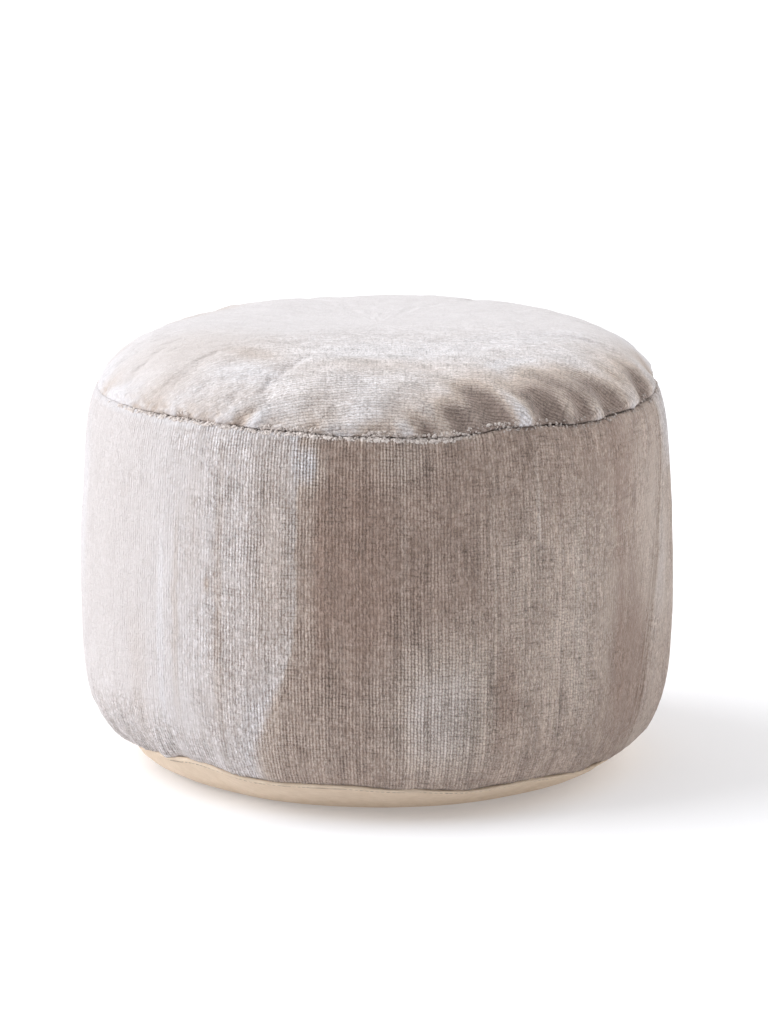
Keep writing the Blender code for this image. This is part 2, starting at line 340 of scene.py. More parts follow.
@dataclass(frozen=True)
class PoufForm:
    """The filled form under the cloth: its driving sizes, seams, folds and filling."""

    widest_radius: float = 0.255
    top_seam_height: float = 0.325
    top_seam_radius: float = 0.2368
    base_seam_height: float = 0.0305
    base_seam_radius: float = 0.2320
    half_gap: float = 0.00015
    crown_rise: float = 0.0515
    swell_fade: int = 2
    seam_wave_fade: int = 4
    lump_fade: int = 2
    shoulder_share: float = 0.42
    shoulder_offset: float = 1.9
    held_share: float = 0.12
    held_reach: float = 0.010
    foot_draw: float = 0.0036
    foot_draw_window: Window = Window(-82.0, 27.0)
    foot_draw_reach: float = 0.014
    closing_foot: float = 59.0
    closing_top: float = 73.5
    closing_bend: float = 1.3
    closing_column: float = 66.0
    closing_pull: float = 26.0
    looks: SeamLooks = SeamLooks()
    top_wave: tuple[Wave, ...] = table(
        Wave, (-175, -0.0010), (-145, 0.0018), (-112, -0.0014), (-82, 0.0006), (-53, 0.0017),
        (-38, 0.0028), (-18, 0.0014), (0, -0.0012), (12, -0.0030), (28, 0.0021), (46, -0.0030),
        (64, -0.0020), (84, 0.0008), (118, -0.0016), (150, 0.0014),
    )
    base_wave: tuple[Wave, ...] = table(
        Wave, (-170, 0.0020), (-140, -0.0018), (-108, 0.0024), (-76, -0.0006), (-52, 0.0030),
        (-41, 0.0078), (-25, 0.0004), (-8, 0.0018), (5, -0.0008), (20, -0.0048),
        (33, -0.0032), (47, -0.0060), (72, -0.0022), (104, 0.0026), (142, -0.0030),
    )
    top_puckers: tuple[Fold, ...] = table(
        Fold, (-168, 4.6, 0.0034, 0.050, 3), (-151, 3.4, 0.0040, 0.036, -4),
        (-129, 5.2, 0.0032, 0.062, 2), (-113, 3.6, 0.0042, 0.040, 5),
        (-92, 4.8, 0.0030, 0.055, -3), (-74, 3.4, 0.0034, 0.034, 2),
        (-54, 4.6, 0.0026, 0.060, 6), (-29, 1.7, 0.0050, 0.028, 4),
        (-14, 5.0, 0.0014, 0.070, 5), (-1, 3.6, 0.0022, 0.022, 0),
        (11, 2.4, 0.0036, 0.024, -2), (18, 2.7, 0.0052, 0.046, -4),
        (25, 2.9, 0.0056, 0.066, -7), (37, 3.4, 0.0056, 0.044, -3),
        (45, 2.5, 0.0046, 0.036, 0), (55, 3.2, 0.0050, 0.052, -4),
        (69, 3.0, 0.0044, 0.050, 2), (88, 4.4, 0.0034, 0.046, -3),
        (106, 3.2, 0.0042, 0.058, 4), (124, 4.8, 0.0030, 0.042, -4),
        (143, 3.6, 0.0040, 0.054, 3), (161, 3.0, 0.0044, 0.038, -2),
    )
    base_tucks: tuple[Fold, ...] = table(
        Fold, (-162, 3.6, 0.0026, 0.034), (-134, 3.0, 0.0030, 0.028),
        (-101, 4.2, 0.0024, 0.040), (-78, 3.0, 0.0028, 0.030), (-53, 2.4, 0.0036, 0.026),
        (-45, 2.4, 0.0034, 0.024), (-26, 2.8, 0.0024, 0.030), (-4, 3.6, 0.0014, 0.026),
        (24, 3.0, 0.0018, 0.030), (52, 3.4, 0.0026, 0.036), (83, 3.0, 0.0030, 0.030),
        (117, 4.0, 0.0024, 0.038), (149, 3.0, 0.0030, 0.028),
    )
    fill_lobes: tuple[Lobe, ...] = table(
        Lobe, (2, 0.0009, -70, 60), (3, 0.0008, 25, -80), (5, 0.0007, 150, 90),
        (8, 0.0004, 10, -140),
    )
    crown_lumps: tuple[Lump, ...] = table(
        Lump, (0.125, 0.060, 0.090, 0.0022), (-0.120, 0.060, 0.090, -0.0016),
        (-0.040, -0.110, 0.085, 0.0018), (0.095, -0.120, 0.070, -0.0018),
        (-0.010, 0.020, 0.080, -0.0022),
    )

    def seam_rise(self, side: ClothSide, azimuth: Array) -> Array:
        """How far a round seam strays from level, eased between the rows of its table."""
        wave = self.top_wave if side is ClothSide.TOP else self.base_wave
        places = np.array([w.azimuth for w in wave] + [wave[0].azimuth + 360.0], float)
        rises = np.array([w.rise for w in wave] + [wave[0].rise], float)
        turned = (azimuth - places[0]) % 360.0 + places[0]
        low = np.clip(np.searchsorted(places, turned, side="right") - 1, 0, len(wave) - 1)
        along = (turned - places[low]) / (places[low + 1] - places[low])
        return rises[low] + (rises[low + 1] - rises[low]) * (0.5 - 0.5 * np.cos(np.pi * along))

    def seam_height(self, side: ClothSide, azimuth: Array) -> Array:
        """The height of a round seam."""
        level = self.top_seam_height if side is ClothSide.TOP else self.base_seam_height
        return level + self.seam_rise(side, azimuth)

    def folds_depth(self, folds: Sequence[Fold], azimuth: Array, distance: Array) -> Array:
        """How far the folds of a table draw the cloth in.

        Args:
            folds: the puckers or tucks.
            azimuth: degrees around.
            distance: the way along the cloth from the seam that the folds start on.

        Returns:
            The depth, negative where a fold's shoulders push the cloth up.
        """
        depth = np.zeros(np.broadcast(azimuth, distance).shape)
        for fold in folds:
            share = np.clip(distance / fold.reach, 0.0, 1.0)
            fade = (1.0 - share * share) ** 2
            off = turn_between(azimuth, fold.azimuth + fold.lean * share) / fold.half_width
            shoulders = np.exp(-((np.abs(off) - self.shoulder_offset) ** 2))
            depth += fold.depth * fade * (np.exp(-off * off) - self.shoulder_share * shoulders)
        return depth

    def puckers_depth(self, azimuth: Array, distance: Array) -> Array:
        """How far the puckers draw the top panel in, less where the seam itself holds it."""
        held = 0.5 + 0.5 * np.cos(np.pi * np.clip(distance / self.held_reach, 0.0, 1.0))
        depth = self.folds_depth(self.top_puckers, azimuth, distance)
        return depth * (1.0 - (1.0 - self.held_share) * held)

    def foot_drawn(self, azimuth: Array, from_seam: Array) -> Array:
        """How far the foot is pulled under on the left, fading away from the base seam."""
        fade = np.exp(-((from_seam / self.foot_draw_reach) ** 2))
        return self.foot_draw * self.foot_draw_window.at(azimuth) * fade

    def fill_swell(self, azimuth: Array, height: Array | float) -> Array:
        """The filling's broad unevenness as a change of radius."""
        share = height / self.top_seam_height
        swell = np.zeros(np.broadcast(azimuth, height).shape)
        for lobe in self.fill_lobes:
            phase = lobe.waves * (azimuth - lobe.azimuth) + lobe.twist * share
            swell += lobe.size * np.cos(np.radians(phase))
        return swell

    def crown_lump(self, x: Array, y: Array) -> Array:
        """The lumps and hollows of the crown as a rise."""
        rise = np.zeros(np.broadcast(x, y).shape)
        for lump in self.crown_lumps:
            rise += lump.rise * np.exp(-((x - lump.x) ** 2 + (y - lump.y) ** 2) / lump.radius**2)
        return rise

    def closing_seam_pull(self, column: Array, share: Array) -> Array:
        """The azimuths of band columns, drawn over so that one follows the leaning seam.

        Args:
            column: the columns' own azimuths.
            share: the share of the band's height.

        Returns:
            The azimuths that the columns stand at.
        """
        off = turn_between(column, self.closing_column)
        lean = self.closing_top - self.closing_foot
        target = self.closing_foot + lean * share**self.closing_bend
        window = 0.5 + 0.5 * np.cos(np.pi * np.clip(off / self.closing_pull, -1.0, 1.0))
        return column + (target - self.closing_column) * window


class ClothMesh:
    """A closed mesh of rings, with named values at its points or its corners."""

    def __init__(self, name: str, rings: Array, caps: Sequence[Vector | None]) -> None:
        """Joins rings from low to high.

        Args:
            name: the piece's name.
            rings: points by ring and column.
            caps: the middle of the low and of the high cap, or None for one flat face.
        """
        self.rows, self.columns = rings.shape[:2]
        points = rings.reshape(-1, 3).tolist()
        column = np.arange(self.columns)
        after = (column + 1) % self.columns
        low = np.arange(self.rows - 1)[:, None] * self.columns
        high = low + self.columns
        walls = [low + column, low + after, high + after, high + column]
        faces = np.stack(walls, axis=-1).reshape(-1, 4).tolist()
        ends = (column[::-1], column + (self.rows - 1) * self.columns)
        for middle, ring in zip(caps, (end.tolist() for end in ends)):
            if middle is None:
                faces.append(ring)
                continue
            faces += [(a, b, len(points)) for a, b in zip(ring, ring[1:] + ring[:1])]
            points.append(list(middle))
        self.mesh = bpy.data.meshes.new(name)
        self.mesh.from_pydata(points, [], faces)
        self.mesh.shade_smooth()
        self.caps = len(points) - self.rows * self.columns
        self.piece = linked(name, self.mesh)

    def point_value(self, name: str, values: Array) -> None:
        """Keeps a number at each point of the rings; the caps' middles get 0."""
        layer = self.mesh.attributes.new(name, "FLOAT", "POINT")
        flat = np.concatenate([values.reshape(-1), np.zeros(self.caps)])
        layer.data.foreach_set("value", flat.astype(np.float32))

    def corner_place(self, across: Array, along: Array) -> None:
        """Keeps each corner's place in the flat cloth, as the attribute cloth.

        Args:
            across: metres across the ribs, by row and by column plus one.
            along: metres along the ribs, in the same way.
        """
        layer = self.mesh.attributes.new("cloth", "FLOAT_VECTOR", "CORNER")
        corners = np.zeros((len(self.mesh.loops), 3))
        place = np.stack([across, along, np.zeros_like(across)], axis=-1)
        face = np.stack((place[:-1, :-1], place[:-1, 1:], place[1:, 1:], place[1:, :-1]), axis=2)
        corners[: (self.rows - 1) * self.columns * 4] = face.reshape(-1, 3)
        layer.data.foreach_set("vector", corners.astype(np.float32).reshape(-1))


@dataclass(frozen=True)
class FillingSettle:
    """Lets the cloth settle over its filling: a short simulation on a coarse cage of the pouf."""

    columns: int = 240
    crown_rows: int = 26
    band_rows: int = 30
    margin: float = 0.010
    crown_margin: float = 0.012
    frames: int = 16
    quality: int = 5
    mass: float = 0.3
    stretch: float = 12.0
    shear: float = 6.0
    bend: float = 0.35
    pressure: float = 3.0
    ease: float = 1.018
    furthest: float = 0.0040
    calm_radius: float = 0.070

    def settle(self, cage: Array, pinned: Sequence[int]) -> Array:
        """Inflates a cage whose cloth is cut a little larger than its seams.

        Args:
            cage: points by ring and column, from the base seam up over the crown.
            pinned: the rings that the seams hold.

        Returns:
            How far each point moved, in the cage's own layout and no further than allowed.
        """
        rows, columns = cage.shape[:2]
        middles = [Vector(cage[row].mean(axis=0)) for row in (0, -1)]
        body = ClothMesh("settle_cage", cage, middles)
        piece = body.piece
        piece.shape_key_add(name="sewn")
        cut = piece.shape_key_add(name="cut")
        flat = np.zeros(len(body.mesh.vertices) * 3)
        body.mesh.vertices.foreach_get("co", flat)
        cut.data.foreach_set("co", flat * self.ease)
        held = piece.vertex_groups.new(name="held")
        for row in pinned:
            held.add(list(range(row * columns, (row + 1) * columns)), 1.0, "ADD")
        held.add([rows * columns, rows * columns + 1], 1.0, "ADD")
        cloth = piece.modifiers.new("settle", "CLOTH")
        settings = cloth.settings
        settings.quality = self.quality
        settings.mass = self.mass
        settings.tension_stiffness = settings.compression_stiffness = self.stretch
        settings.shear_stiffness = self.shear
        settings.bending_stiffness = self.bend
        settings.use_pressure = True
        settings.uniform_pressure_force = self.pressure
        settings.effector_weights.gravity = 0.0
        settings.vertex_group_mass = held.name
        settings.rest_shape_key = cut
        cloth.collision_settings.use_collision = False
        cloth.point_cache.frame_end = self.frames
        scene = bpy.context.scene
        for frame in range(1, self.frames + 1):
            scene.frame_set(frame)
        settled = piece.evaluated_get(bpy.context.evaluated_depsgraph_get()).to_mesh()
        after = np.zeros(len(settled.vertices) * 3)
        settled.vertices.foreach_get("co", after)
        scene.frame_set(1)
        bpy.data.objects.remove(piece)
        bpy.data.meshes.remove(body.mesh)
        moved = (after - flat).reshape(-1, 3)[: rows * columns].reshape(cage.shape)
        outward = around(np.arange(columns) * 360.0 / columns, 1.0, 0.0)
        moved -= (moved * outward).sum(axis=2, keepdims=True).mean(axis=1, keepdims=True) * outward
        moved[..., 2] -= moved[..., 2].mean(axis=1, keepdims=True)
        radius = np.linalg.norm(cage[..., :2], axis=-1, keepdims=True)
        moved *= eased((radius - self.calm_radius) / self.calm_radius)
        far = np.linalg.norm(moved, axis=-1, keepdims=True)
        return moved * np.minimum(1.0, self.furthest / np.maximum(far, 1e-9))


class Drift(NamedTuple):
    """The settled cloth's movement: the cage rings' places along a panel, and how they moved."""

    distances: Array
    moved: Array

    def at(self, azimuth: Array, distance: Array) -> Array:
        """The movement at azimuths (rows by columns) and at the rows' distances (a column)."""
        columns = self.moved.shape[1]
        rings = [
            [np.interp(distance[:, 0], self.distances, self.moved[:, c, axis]) for axis in range(3)]
            for c in range(columns)
        ]
        rings = np.stack(rings, axis=-1)
        turn = (azimuth / 360.0 % 1.0) * columns
        column = np.floor(turn).astype(int)
        share = eased(turn - column)[..., None]
        row = np.arange(len(distance))[:, None]
        near = rings[:, row, column % columns].transpose(1, 2, 0)
        after = rings[:, row, (column + 1) % columns].transpose(1, 2, 0)
        return near * (1 - share) + after * share


class NodeBench:
    """Makes and links shader nodes in one tree."""

    def __init__(self, tree: bpy.types.NodeTree) -> None:
        """Works on a tree."""
        self.tree = tree

    def feed(self, sockets: bpy.types.NodeInputs, values: dict[int | str, object]) -> None:
        """Links inputs to other sockets, or sets their values."""
        for key, value in values.items():
            if isinstance(value, Socket):
                self.tree.links.new(value, sockets[key])
            else:
                sockets[key].default_value = value

    def node(
        self, kind: str, inputs: dict[int | str, object] | None = None, **values: object
    ) -> bpy.types.NodeOutputs:
        """Adds a node.

        Args:
            kind: its type.
            inputs: what its inputs are linked or set to.
            values: its own properties.

        Returns:
            Its outputs.
        """
        made = self.tree.nodes.new(kind)
        for name, value in values.items():
            setattr(made, name, value)
        self.feed(made.inputs, inputs or {})
        return made.outputs

    def attribute(self, name: str, output: str = "Fac") -> Socket:
        """A value that the mesh carries."""
        return self.node("ShaderNodeAttribute", attribute_name=name)[output]

    def math(self, operation: str, *values: object) -> Socket:
        """A Math node's result."""
        return self.node("ShaderNodeMath", dict(enumerate(values)), operation=operation)[0]

    def times(self, value: object, other: object) -> Socket:
        """The product of two values."""
        return self.math("MULTIPLY", value, other)

    def line(self, value: object, slope: object, start: object) -> Socket:
        """A value times a slope, plus a start."""
        return self.math("MULTIPLY_ADD", value, slope, start)

    def rest(self, value: object) -> Socket:
        """What a value leaves of 1."""
        return self.math("SUBTRACT", 1.0, value)

    def arch(self, value: object) -> Socket:
        """A row of arches from 0 to 1, one for each whole step of the value."""
        return self.math("ABSOLUTE", self.math("SINE", self.times(value, math.pi)))

    def chance(self, value: object) -> Socket:
        """A random number from 0 to 1 for each value."""
        return self.node("ShaderNodeTexWhiteNoise", {"W": value}, noise_dimensions="1D")["Value"]

    def vector(self, operation: str, *values: object) -> Socket:
        """A Vector Math node's result."""
        return self.node("ShaderNodeVectorMath", dict(enumerate(values)), operation=operation)[0]

    def parts(self, place: object) -> tuple[Socket, Socket]:
        """A place's first two parts."""
        made = self.node("ShaderNodeSeparateXYZ", {0: place})
        return made[0], made[1]

    def place(self, across: object, along: object) -> Socket:
        """A place from its first two parts."""
        return self.node("ShaderNodeCombineXYZ", {0: across, 1: along})[0]

    def noise(self, place: object, detail: float = 2.0, roughness: float = 0.5) -> Socket:
        """A noise of unit scale at a place that already has its own scale, about -1 to 1."""
        inputs = {"Vector": place, "Scale": 1.0, "Detail": detail, "Roughness": roughness}
        return self.line(self.node("ShaderNodeTexNoise", inputs)["Fac"], 4.0, -2.0)

    def cloud(
        self, place: object, scale: tuple[float, ...], detail: float = 2.0, roughness: float = 0.5
    ) -> Socket:
        """A noise of a scale of its own in each direction, about -1 to 1."""
        return self.noise(self.vector("MULTIPLY", place, scale), detail, roughness)

    def span(self, value: object, low: float, high: float) -> Socket:
        """A smooth step of a value from 0 at low to 1 at high."""
        inputs = {"Value": value, "From Min": low, "From Max": high}
        return self.node("ShaderNodeMapRange", inputs, interpolation_type="SMOOTHSTEP")["Result"]

    def blend(self, share: object, low: object, high: object) -> Socket:
        """A colour between two, by a share."""
        return self.node("ShaderNodeMix", {0: share, 6: low, 7: high}, data_type="RGBA")[2]

    def ramp(self, share: object, colours: Sequence[Colour]) -> Socket:
        """A colour between evenly spaced stops, by a share."""
        made = self.tree.nodes.new("ShaderNodeValToRGB")
        stops = made.color_ramp.elements
        while len(stops) < len(colours):
            stops.new(0.5)
        for index, colour in enumerate(colours):
            stops[index].position = index / (len(colours) - 1)
            stops[index].color = colour
        self.feed(made.inputs, {0: share})
        return made.outputs[0]

    def scaled(self, colour: object, scale: object) -> Socket:
        """A colour made lighter or darker by a factor."""
        inputs = {0: colour, "Scale": scale}
        return self.node("ShaderNodeVectorMath", inputs, operation="SCALE")[0]

    def bump(self, height: object, distance: float) -> Socket:
        """The normal of a relief."""
        return self.node("ShaderNodeBump", {"Distance": distance, "Height": height})["Normal"]

    def effect(self, group: bpy.types.NodeTree, **inputs: object) -> bpy.types.NodeOutputs:
        """Places a node group; the spaces in its inputs' names are written as _."""
        named = {name.replace("_", " "): value for name, value in inputs.items()}
        return self.node("ShaderNodeGroup", named, node_tree=group)


class EffectGroup(NodeBench):
    """A shader node group: named inputs, and numbers that change over the surface."""

    def __init__(
        self, name: str, inputs: dict[str, float | None], outputs: Sequence[str]
    ) -> None:
        """Starts the group.

        Args:
            name: the group's name.
            inputs: each input's default, or None for a vector.
            outputs: the names of its float outputs.
        """
        super().__init__(bpy.data.node_groups.new(name, "ShaderNodeTree"))
        face = self.tree.interface
        for label, default in inputs.items():
            kind = "NodeSocketVector" if default is None else "NodeSocketFloat"
            socket = face.new_socket(label, in_out="INPUT", socket_type=kind)
            if default is not None:
                socket.default_value = default
        for label in outputs:
            face.new_socket(label, in_out="OUTPUT", socket_type="NodeSocketFloat")
        self.given = self.node("NodeGroupInput")
        self.result = self.tree.nodes.new("NodeGroupOutput").inputs


class ClothEffects:
    """The effects that several cloths share, each one node group."""

    def __init__(self) -> None:
        """Builds the groups once."""
        self.grain = self.fibre_grain()
        self.ribs = self.pile_ribs()
        self.nap = self.nap_tone()

    @staticmethod
    def fibre_grain() -> bpy.types.NodeTree:
        """Fine fibres: noise drawn out along the cloth, with painted glints on bright fibre ends
        here and there.
        """
        bench = EffectGroup(
            "Fibre Grain", {"Cloth": None, "Across": 1150.0, "Along": 360.0, "Specks": 0.5},
            ["Height", "Speck"],
        )
        given = bench.given
        scale = bench.place(given["Across"], given["Along"])
        place = bench.vector("MULTIPLY", given["Cloth"], scale)
        fibres = bench.noise(place, 3.0, 0.65)
        ends = bench.noise(bench.vector("ADD", place, (31.0, 7.0, 3.0)), 1.0)
        glint = bench.times(bench.span(ends, 0.55, 1.1), given["Specks"])
        bench.feed(bench.result, {"Height": bench.line(fibres, 0.5, 0.5), "Speck": glint})
        return bench.tree

    @staticmethod
    def pile_ribs() -> bpy.types.NodeTree:
        """The ribs of the pile and the beads along them, worn away where the nap is matted."""
        bench = EffectGroup(
            "Pile Ribs",
            {"Cloth": None, "Crisp": 0.5, "Pitch": 0.0028, "Bead": 0.0026, "Bead Depth": 0.5,
             "Wander": 0.2},
            ["Height", "Groove", "Odd"],
        )
        given = bench.given
        cloth = given["Cloth"]
        across, along = bench.parts(cloth)
        neat = bench.span(given["Crisp"], 0.0, 1.0)
        loose = bench.line(neat, -0.55, 1.0)
        wander = bench.times(loose, given["Wander"])
        sway = bench.cloud(cloth, (300.0, 230.0, 1.0), 2.0, 0.6)
        slip = bench.cloud(cloth, (250.0, 330.0, 5.0), 2.0, 0.6)
        rib = bench.math("DIVIDE", across, given["Pitch"])
        own = bench.chance(bench.math("FLOOR", rib))
        rib = bench.line(sway, wander, rib)
        row = bench.math("DIVIDE", along, given["Bead"])
        row = bench.line(slip, bench.times(wander, 2.0), row)
        row = bench.line(own, 0.75, row)
        crest = bench.math("POWER", bench.arch(rib), 0.9)
        hollow = bench.rest(bench.math("POWER", bench.arch(row), 0.5))
        hollow = bench.times(hollow, given["Bead Depth"])
        ribbed = bench.times(crest, bench.line(hollow, -0.35, 1.0))
        filled = bench.times(bench.line(hollow, -0.48, 0.48), bench.rest(crest))
        ribbed = bench.math("ADD", ribbed, filled)
        cell = bench.place(rib, bench.times(row, 0.5))
        inputs = {"Vector": cell, "Scale": 1.15, "Randomness": 0.95}
        tufts = bench.node("ShaderNodeTexVoronoi", inputs, feature="F1")
        tuft = bench.rest(bench.span(tufts["Distance"], 0.10, 0.80))
        keep = bench.line(neat, 0.42, 0.52)
        height = bench.line(ribbed, keep, bench.times(bench.rest(keep), tuft))
        shade = bench.node("ShaderNodeSeparateColor", {0: tufts["Color"]})[0]
        odd = bench.times(bench.line(shade, 2.0, -1.0), loose)
        bench.feed(bench.result, {"Height": height, "Groove": bench.rest(height), "Odd": odd})
        return bench.tree

    @staticmethod
    def nap_tone() -> bpy.types.NodeTree:
        """How light the pile looks: brushed patches, upright and level streaks, odd ribs."""
        bench = EffectGroup(
            "Nap Tone",
            {"Cloth": None, "Pitch": 0.0028, "Patches": 0.2, "Streaks": 0.2, "Slubs": 0.2,
             "Rib Odds": 0.1},
            ["Tone"],
        )
        given = bench.given
        cloth = given["Cloth"]
        patches = bench.cloud(cloth, (48.0, 34.0, 1.0), 4.0, 0.65)
        streaks = bench.cloud(cloth, (330.0, 22.0, 1.0), 3.0, 0.6)
        broad = bench.cloud(cloth, (85.0, 8.0, 1.0))
        slubs = bench.cloud(cloth, (62.0, 430.0, 1.0), 3.0, 0.65)
        apart = bench.vector("MULTIPLY", cloth, (58.0, 560.0, 1.0))
        apart = bench.noise(bench.vector("ADD", apart, (9.0, 4.0, 2.0)))
        rib = bench.math("FLOOR", bench.math("DIVIDE", bench.parts(cloth)[0], given["Pitch"]))
        odd = bench.math("SUBTRACT", bench.chance(rib), 0.5)
        tone = bench.times(patches, given["Patches"])
        tone = bench.line(bench.line(broad, 0.6, streaks), given["Streaks"], tone)
        thrown = bench.line(bench.span(apart, 0.28, 0.75), -1.90, slubs)
        tone = bench.line(thrown, given["Slubs"], tone)
        bench.feed(bench.result, {"Tone": bench.line(odd, given["Rib Odds"], tone)})
        return bench.tree


def new_material(name: str) -> tuple[bpy.types.Material, NodeBench, bpy.types.NodeInputs]:
    """Starts a material; returns it, a bench on its nodes and its shader's inputs."""
    made = bpy.data.materials.new(name)
    made.use_nodes = True
    return made, NodeBench(made.node_tree), made.node_tree.nodes["Principled BSDF"].inputs


@dataclass(frozen=True)
class PileFinish:
    """The pile cloth: crushed and pale colours, relief and sheen, with painted sheen in the pale
    colour and painted shade in its grooves.
    """

    name: str
    crushed: Colour = (0.430, 0.327, 0.275, 1.0)
    half_raised: Colour = (0.627, 0.538, 0.478, 1.0)
    # Pale colour of the lifted nap, which carries painted sheen
    raised_with_sheen: Colour = (0.800, 0.781, 0.800, 1.0)
    # Colour of the painted shade in seam grooves, gaps and pucker troughs
    painted_shade: Colour = (0.17, 0.130, 0.108, 1.0)
    # Tint of the painted shade in the grooves between ribs and beads
    groove_shade_tint: tuple[float, float, float] = (0.37, 0.29, 0.24)
    pitch: float = 0.0028
    bead: float = 0.0026
    bead_depth: float = 0.95
    wander: float = 0.42
    groove_shade: float = 1.15
    groove_mean: float = 0.27
    tuft_odds: float = 0.13
    tone_light: float = 0.72
    tone_lay: float = 0.22
    fine_light: float = 0.85
    glint_light: float = 0.40
    brightest: float = 1.25
    worn_least: float = 0.16
    worn_more: float = 1.06
    patches: float = 0.19
    streaks: float = 0.24
    slubs: float = 0.15
    rib_odds: float = 0.20
    glints: float = 0.36
    rib_relief: float = 0.00070
    fibre_relief: float = 0.00028
    roughness: float = 0.80
    sheen: float = 0.30
    sheen_roughness: float = 0.40
    sheen_tint: Colour = (1.0, 0.99, 0.98, 1.0)
    specular: float = 0.3

    def material(self, effects: ClothEffects) -> bpy.types.Material:
        """Builds the cloth's material.

        Args:
            effects: the shared node groups.

        Returns:
            The material; its pieces carry the attributes cloth, lay and crisp, and the painted
            shade of grooves, gaps and troughs.
        """
        made, bench, shader = new_material(self.name)
        cloth = bench.attribute("cloth", "Vector")
        lay, crisp, painted_shade = (bench.attribute(name) for name in ("lay", "crisp", "painted_shade"))
        ribs = bench.effect(
            effects.ribs, Cloth=cloth, Crisp=crisp, Pitch=self.pitch, Bead=self.bead,
            Bead_Depth=self.bead_depth, Wander=self.wander,
        )
        tone = bench.effect(
            effects.nap, Cloth=cloth, Pitch=self.pitch, Patches=self.patches,
            Streaks=self.streaks, Slubs=self.slubs, Rib_Odds=self.rib_odds,
        )["Tone"]
        grain = bench.effect(effects.grain, Cloth=cloth, Specks=self.glints)
        # How strongly the tone and the painted groove shade show: less where the nap is matted
        worn = bench.line(bench.span(crisp, -0.6, 0.95), self.worn_more, self.worn_least)
        share = bench.line(lay, 0.5, 0.5)
        share = bench.line(bench.times(tone, worn), self.tone_lay, share)
        colour = bench.ramp(share, (self.crushed, self.half_raised, self.raised_with_sheen))
        light = bench.line(tone, self.tone_light, -self.fine_light / 2.0)
        light = bench.line(grain["Height"], self.fine_light, light)
        light = bench.line(ribs["Odd"], self.tuft_odds, light)
        # Painted glints on bright fibre ends
        light = bench.line(grain["Speck"], self.glint_light, light)
        light = bench.math("MINIMUM", bench.line(light, worn, 1.0), self.brightest)
        colour = bench.scaled(colour, light)
        # Painted shade: the colour darkens towards the groove tint in the grooves between ribs and
        # beads
        depth = bench.math("SUBTRACT", ribs["Groove"], self.groove_mean)
        depth = bench.times(bench.line(depth, worn, self.groove_mean), self.groove_shade)
        colour = bench.blend(depth, colour, bench.vector("MULTIPLY", colour, self.groove_shade_tint))
        relief = bench.times(ribs["Height"], self.rib_relief / self.fibre_relief)
        relief = bench.math("ADD", relief, grain["Height"])
        # The base colour turns to the painted shade colour in seam grooves, gaps and pucker troughs
        bench.feed(shader, {
            "Base Color": bench.blend(painted_shade, colour, self.painted_shade),
            "Roughness": bench.line(share, -0.12, self.roughness),
            "Normal": bench.bump(relief, self.fibre_relief),
            "Sheen Weight": self.sheen, "Sheen Roughness": self.sheen_roughness,
            "Sheen Tint": self.sheen_tint, "Specular IOR Level": self.specular,
        })
        return made


@dataclass(frozen=True)
class CanvasFinish:
    """The base's plain weave."""

    name: str = "canvas_base"
    warp: Colour = (0.69, 0.553, 0.420, 1.0)
    weft: Colour = (0.838, 0.698, 0.558, 1.0)
    # Colour of the painted shade under the lip and at the seam
    painted_shade: Colour = (0.20, 0.135, 0.095, 1.0)
    pitch: float = 0.0009
    fibres: float = 1600.0
    relief: float = 0.00020
    roughness: float = 0.88
    specular: float = 0.2

    def material(self, effects: ClothEffects) -> bpy.types.Material:
        """Builds the canvas; its piece carries the attribute cloth and the painted shade under its
        lip.
        """
        made, bench, shader = new_material(self.name)
        cloth = bench.attribute("cloth", "Vector")
        across, along = (
            bench.math("SINE", bench.times(part, math.pi / self.pitch))
            for part in bench.parts(cloth)
        )
        over = bench.times(across, along)
        grain = bench.effect(
            effects.grain, Cloth=cloth, Across=self.fibres, Along=self.fibres, Specks=0.0
        )
        thick = bench.cloud(cloth, (120.0, 420.0, 1.0), 3.0, 0.6)
        cloud = bench.cloud(cloth, (60.0, 60.0, 1.0), 3.0, 0.6)
        share = bench.line(thick, 0.28, bench.line(over, 0.22, 0.5))
        share = bench.line(cloud, 0.26, share)
        weave = bench.blend(share, self.warp, self.weft)
        height = bench.line(bench.math("ABSOLUTE", over), 0.7, grain["Height"])
        # The weave darkens to the painted shade colour under the lip and at the seam
        bench.feed(shader, {
            "Base Color": bench.blend(bench.attribute("painted_shade"), weave, self.painted_shade),
            "Roughness": bench.line(share, -0.1, self.roughness),
            "Normal": bench.bump(height, self.relief), "Specular IOR Level": self.specular,
        })
        return made


@dataclass(frozen=True)
class YarnFinish:
    """Loose pile ends and sewing yarn: a colour that varies from strand to strand, with painted
    shade in the tufts' tones and the stitches' dark brown.
    """

    name: str
    dark: Colour
    light: Colour
    roughness: float = 0.75
    sheen: float = 0.3
    specular: float = 0.25
    across: float = 3000.0
    along: float = 900.0

    def material(self, effects: ClothEffects) -> bpy.types.Material:
        """Builds the yarn; its piece carries the attributes cloth and lay."""
        made, bench, shader = new_material(self.name)
        cloth = bench.attribute("cloth", "Vector")
        grain = bench.effect(
            effects.grain, Cloth=cloth, Across=self.across, Along=self.along, Specks=0.0
        )
        share = bench.line(grain["Height"], 0.3, bench.attribute("lay"))
        bench.feed(shader, {
            "Base Color": bench.blend(share, self.dark, self.light),
            "Roughness": bench.line(share, -0.1, self.roughness),
            "Sheen Weight": self.sheen, "Specular IOR Level": self.specular,
        })
        return made


def dress(piece: Thing, material: bpy.types.Material) -> Thing:
    """Gives a piece its material, and lets it ride on the pouf.

    Args:
        piece: the piece, in place.
        material: its finish.

    Returns:
        The same piece.
    """
    piece.data.materials.append(material)
    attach(piece, BODY)
    return piece


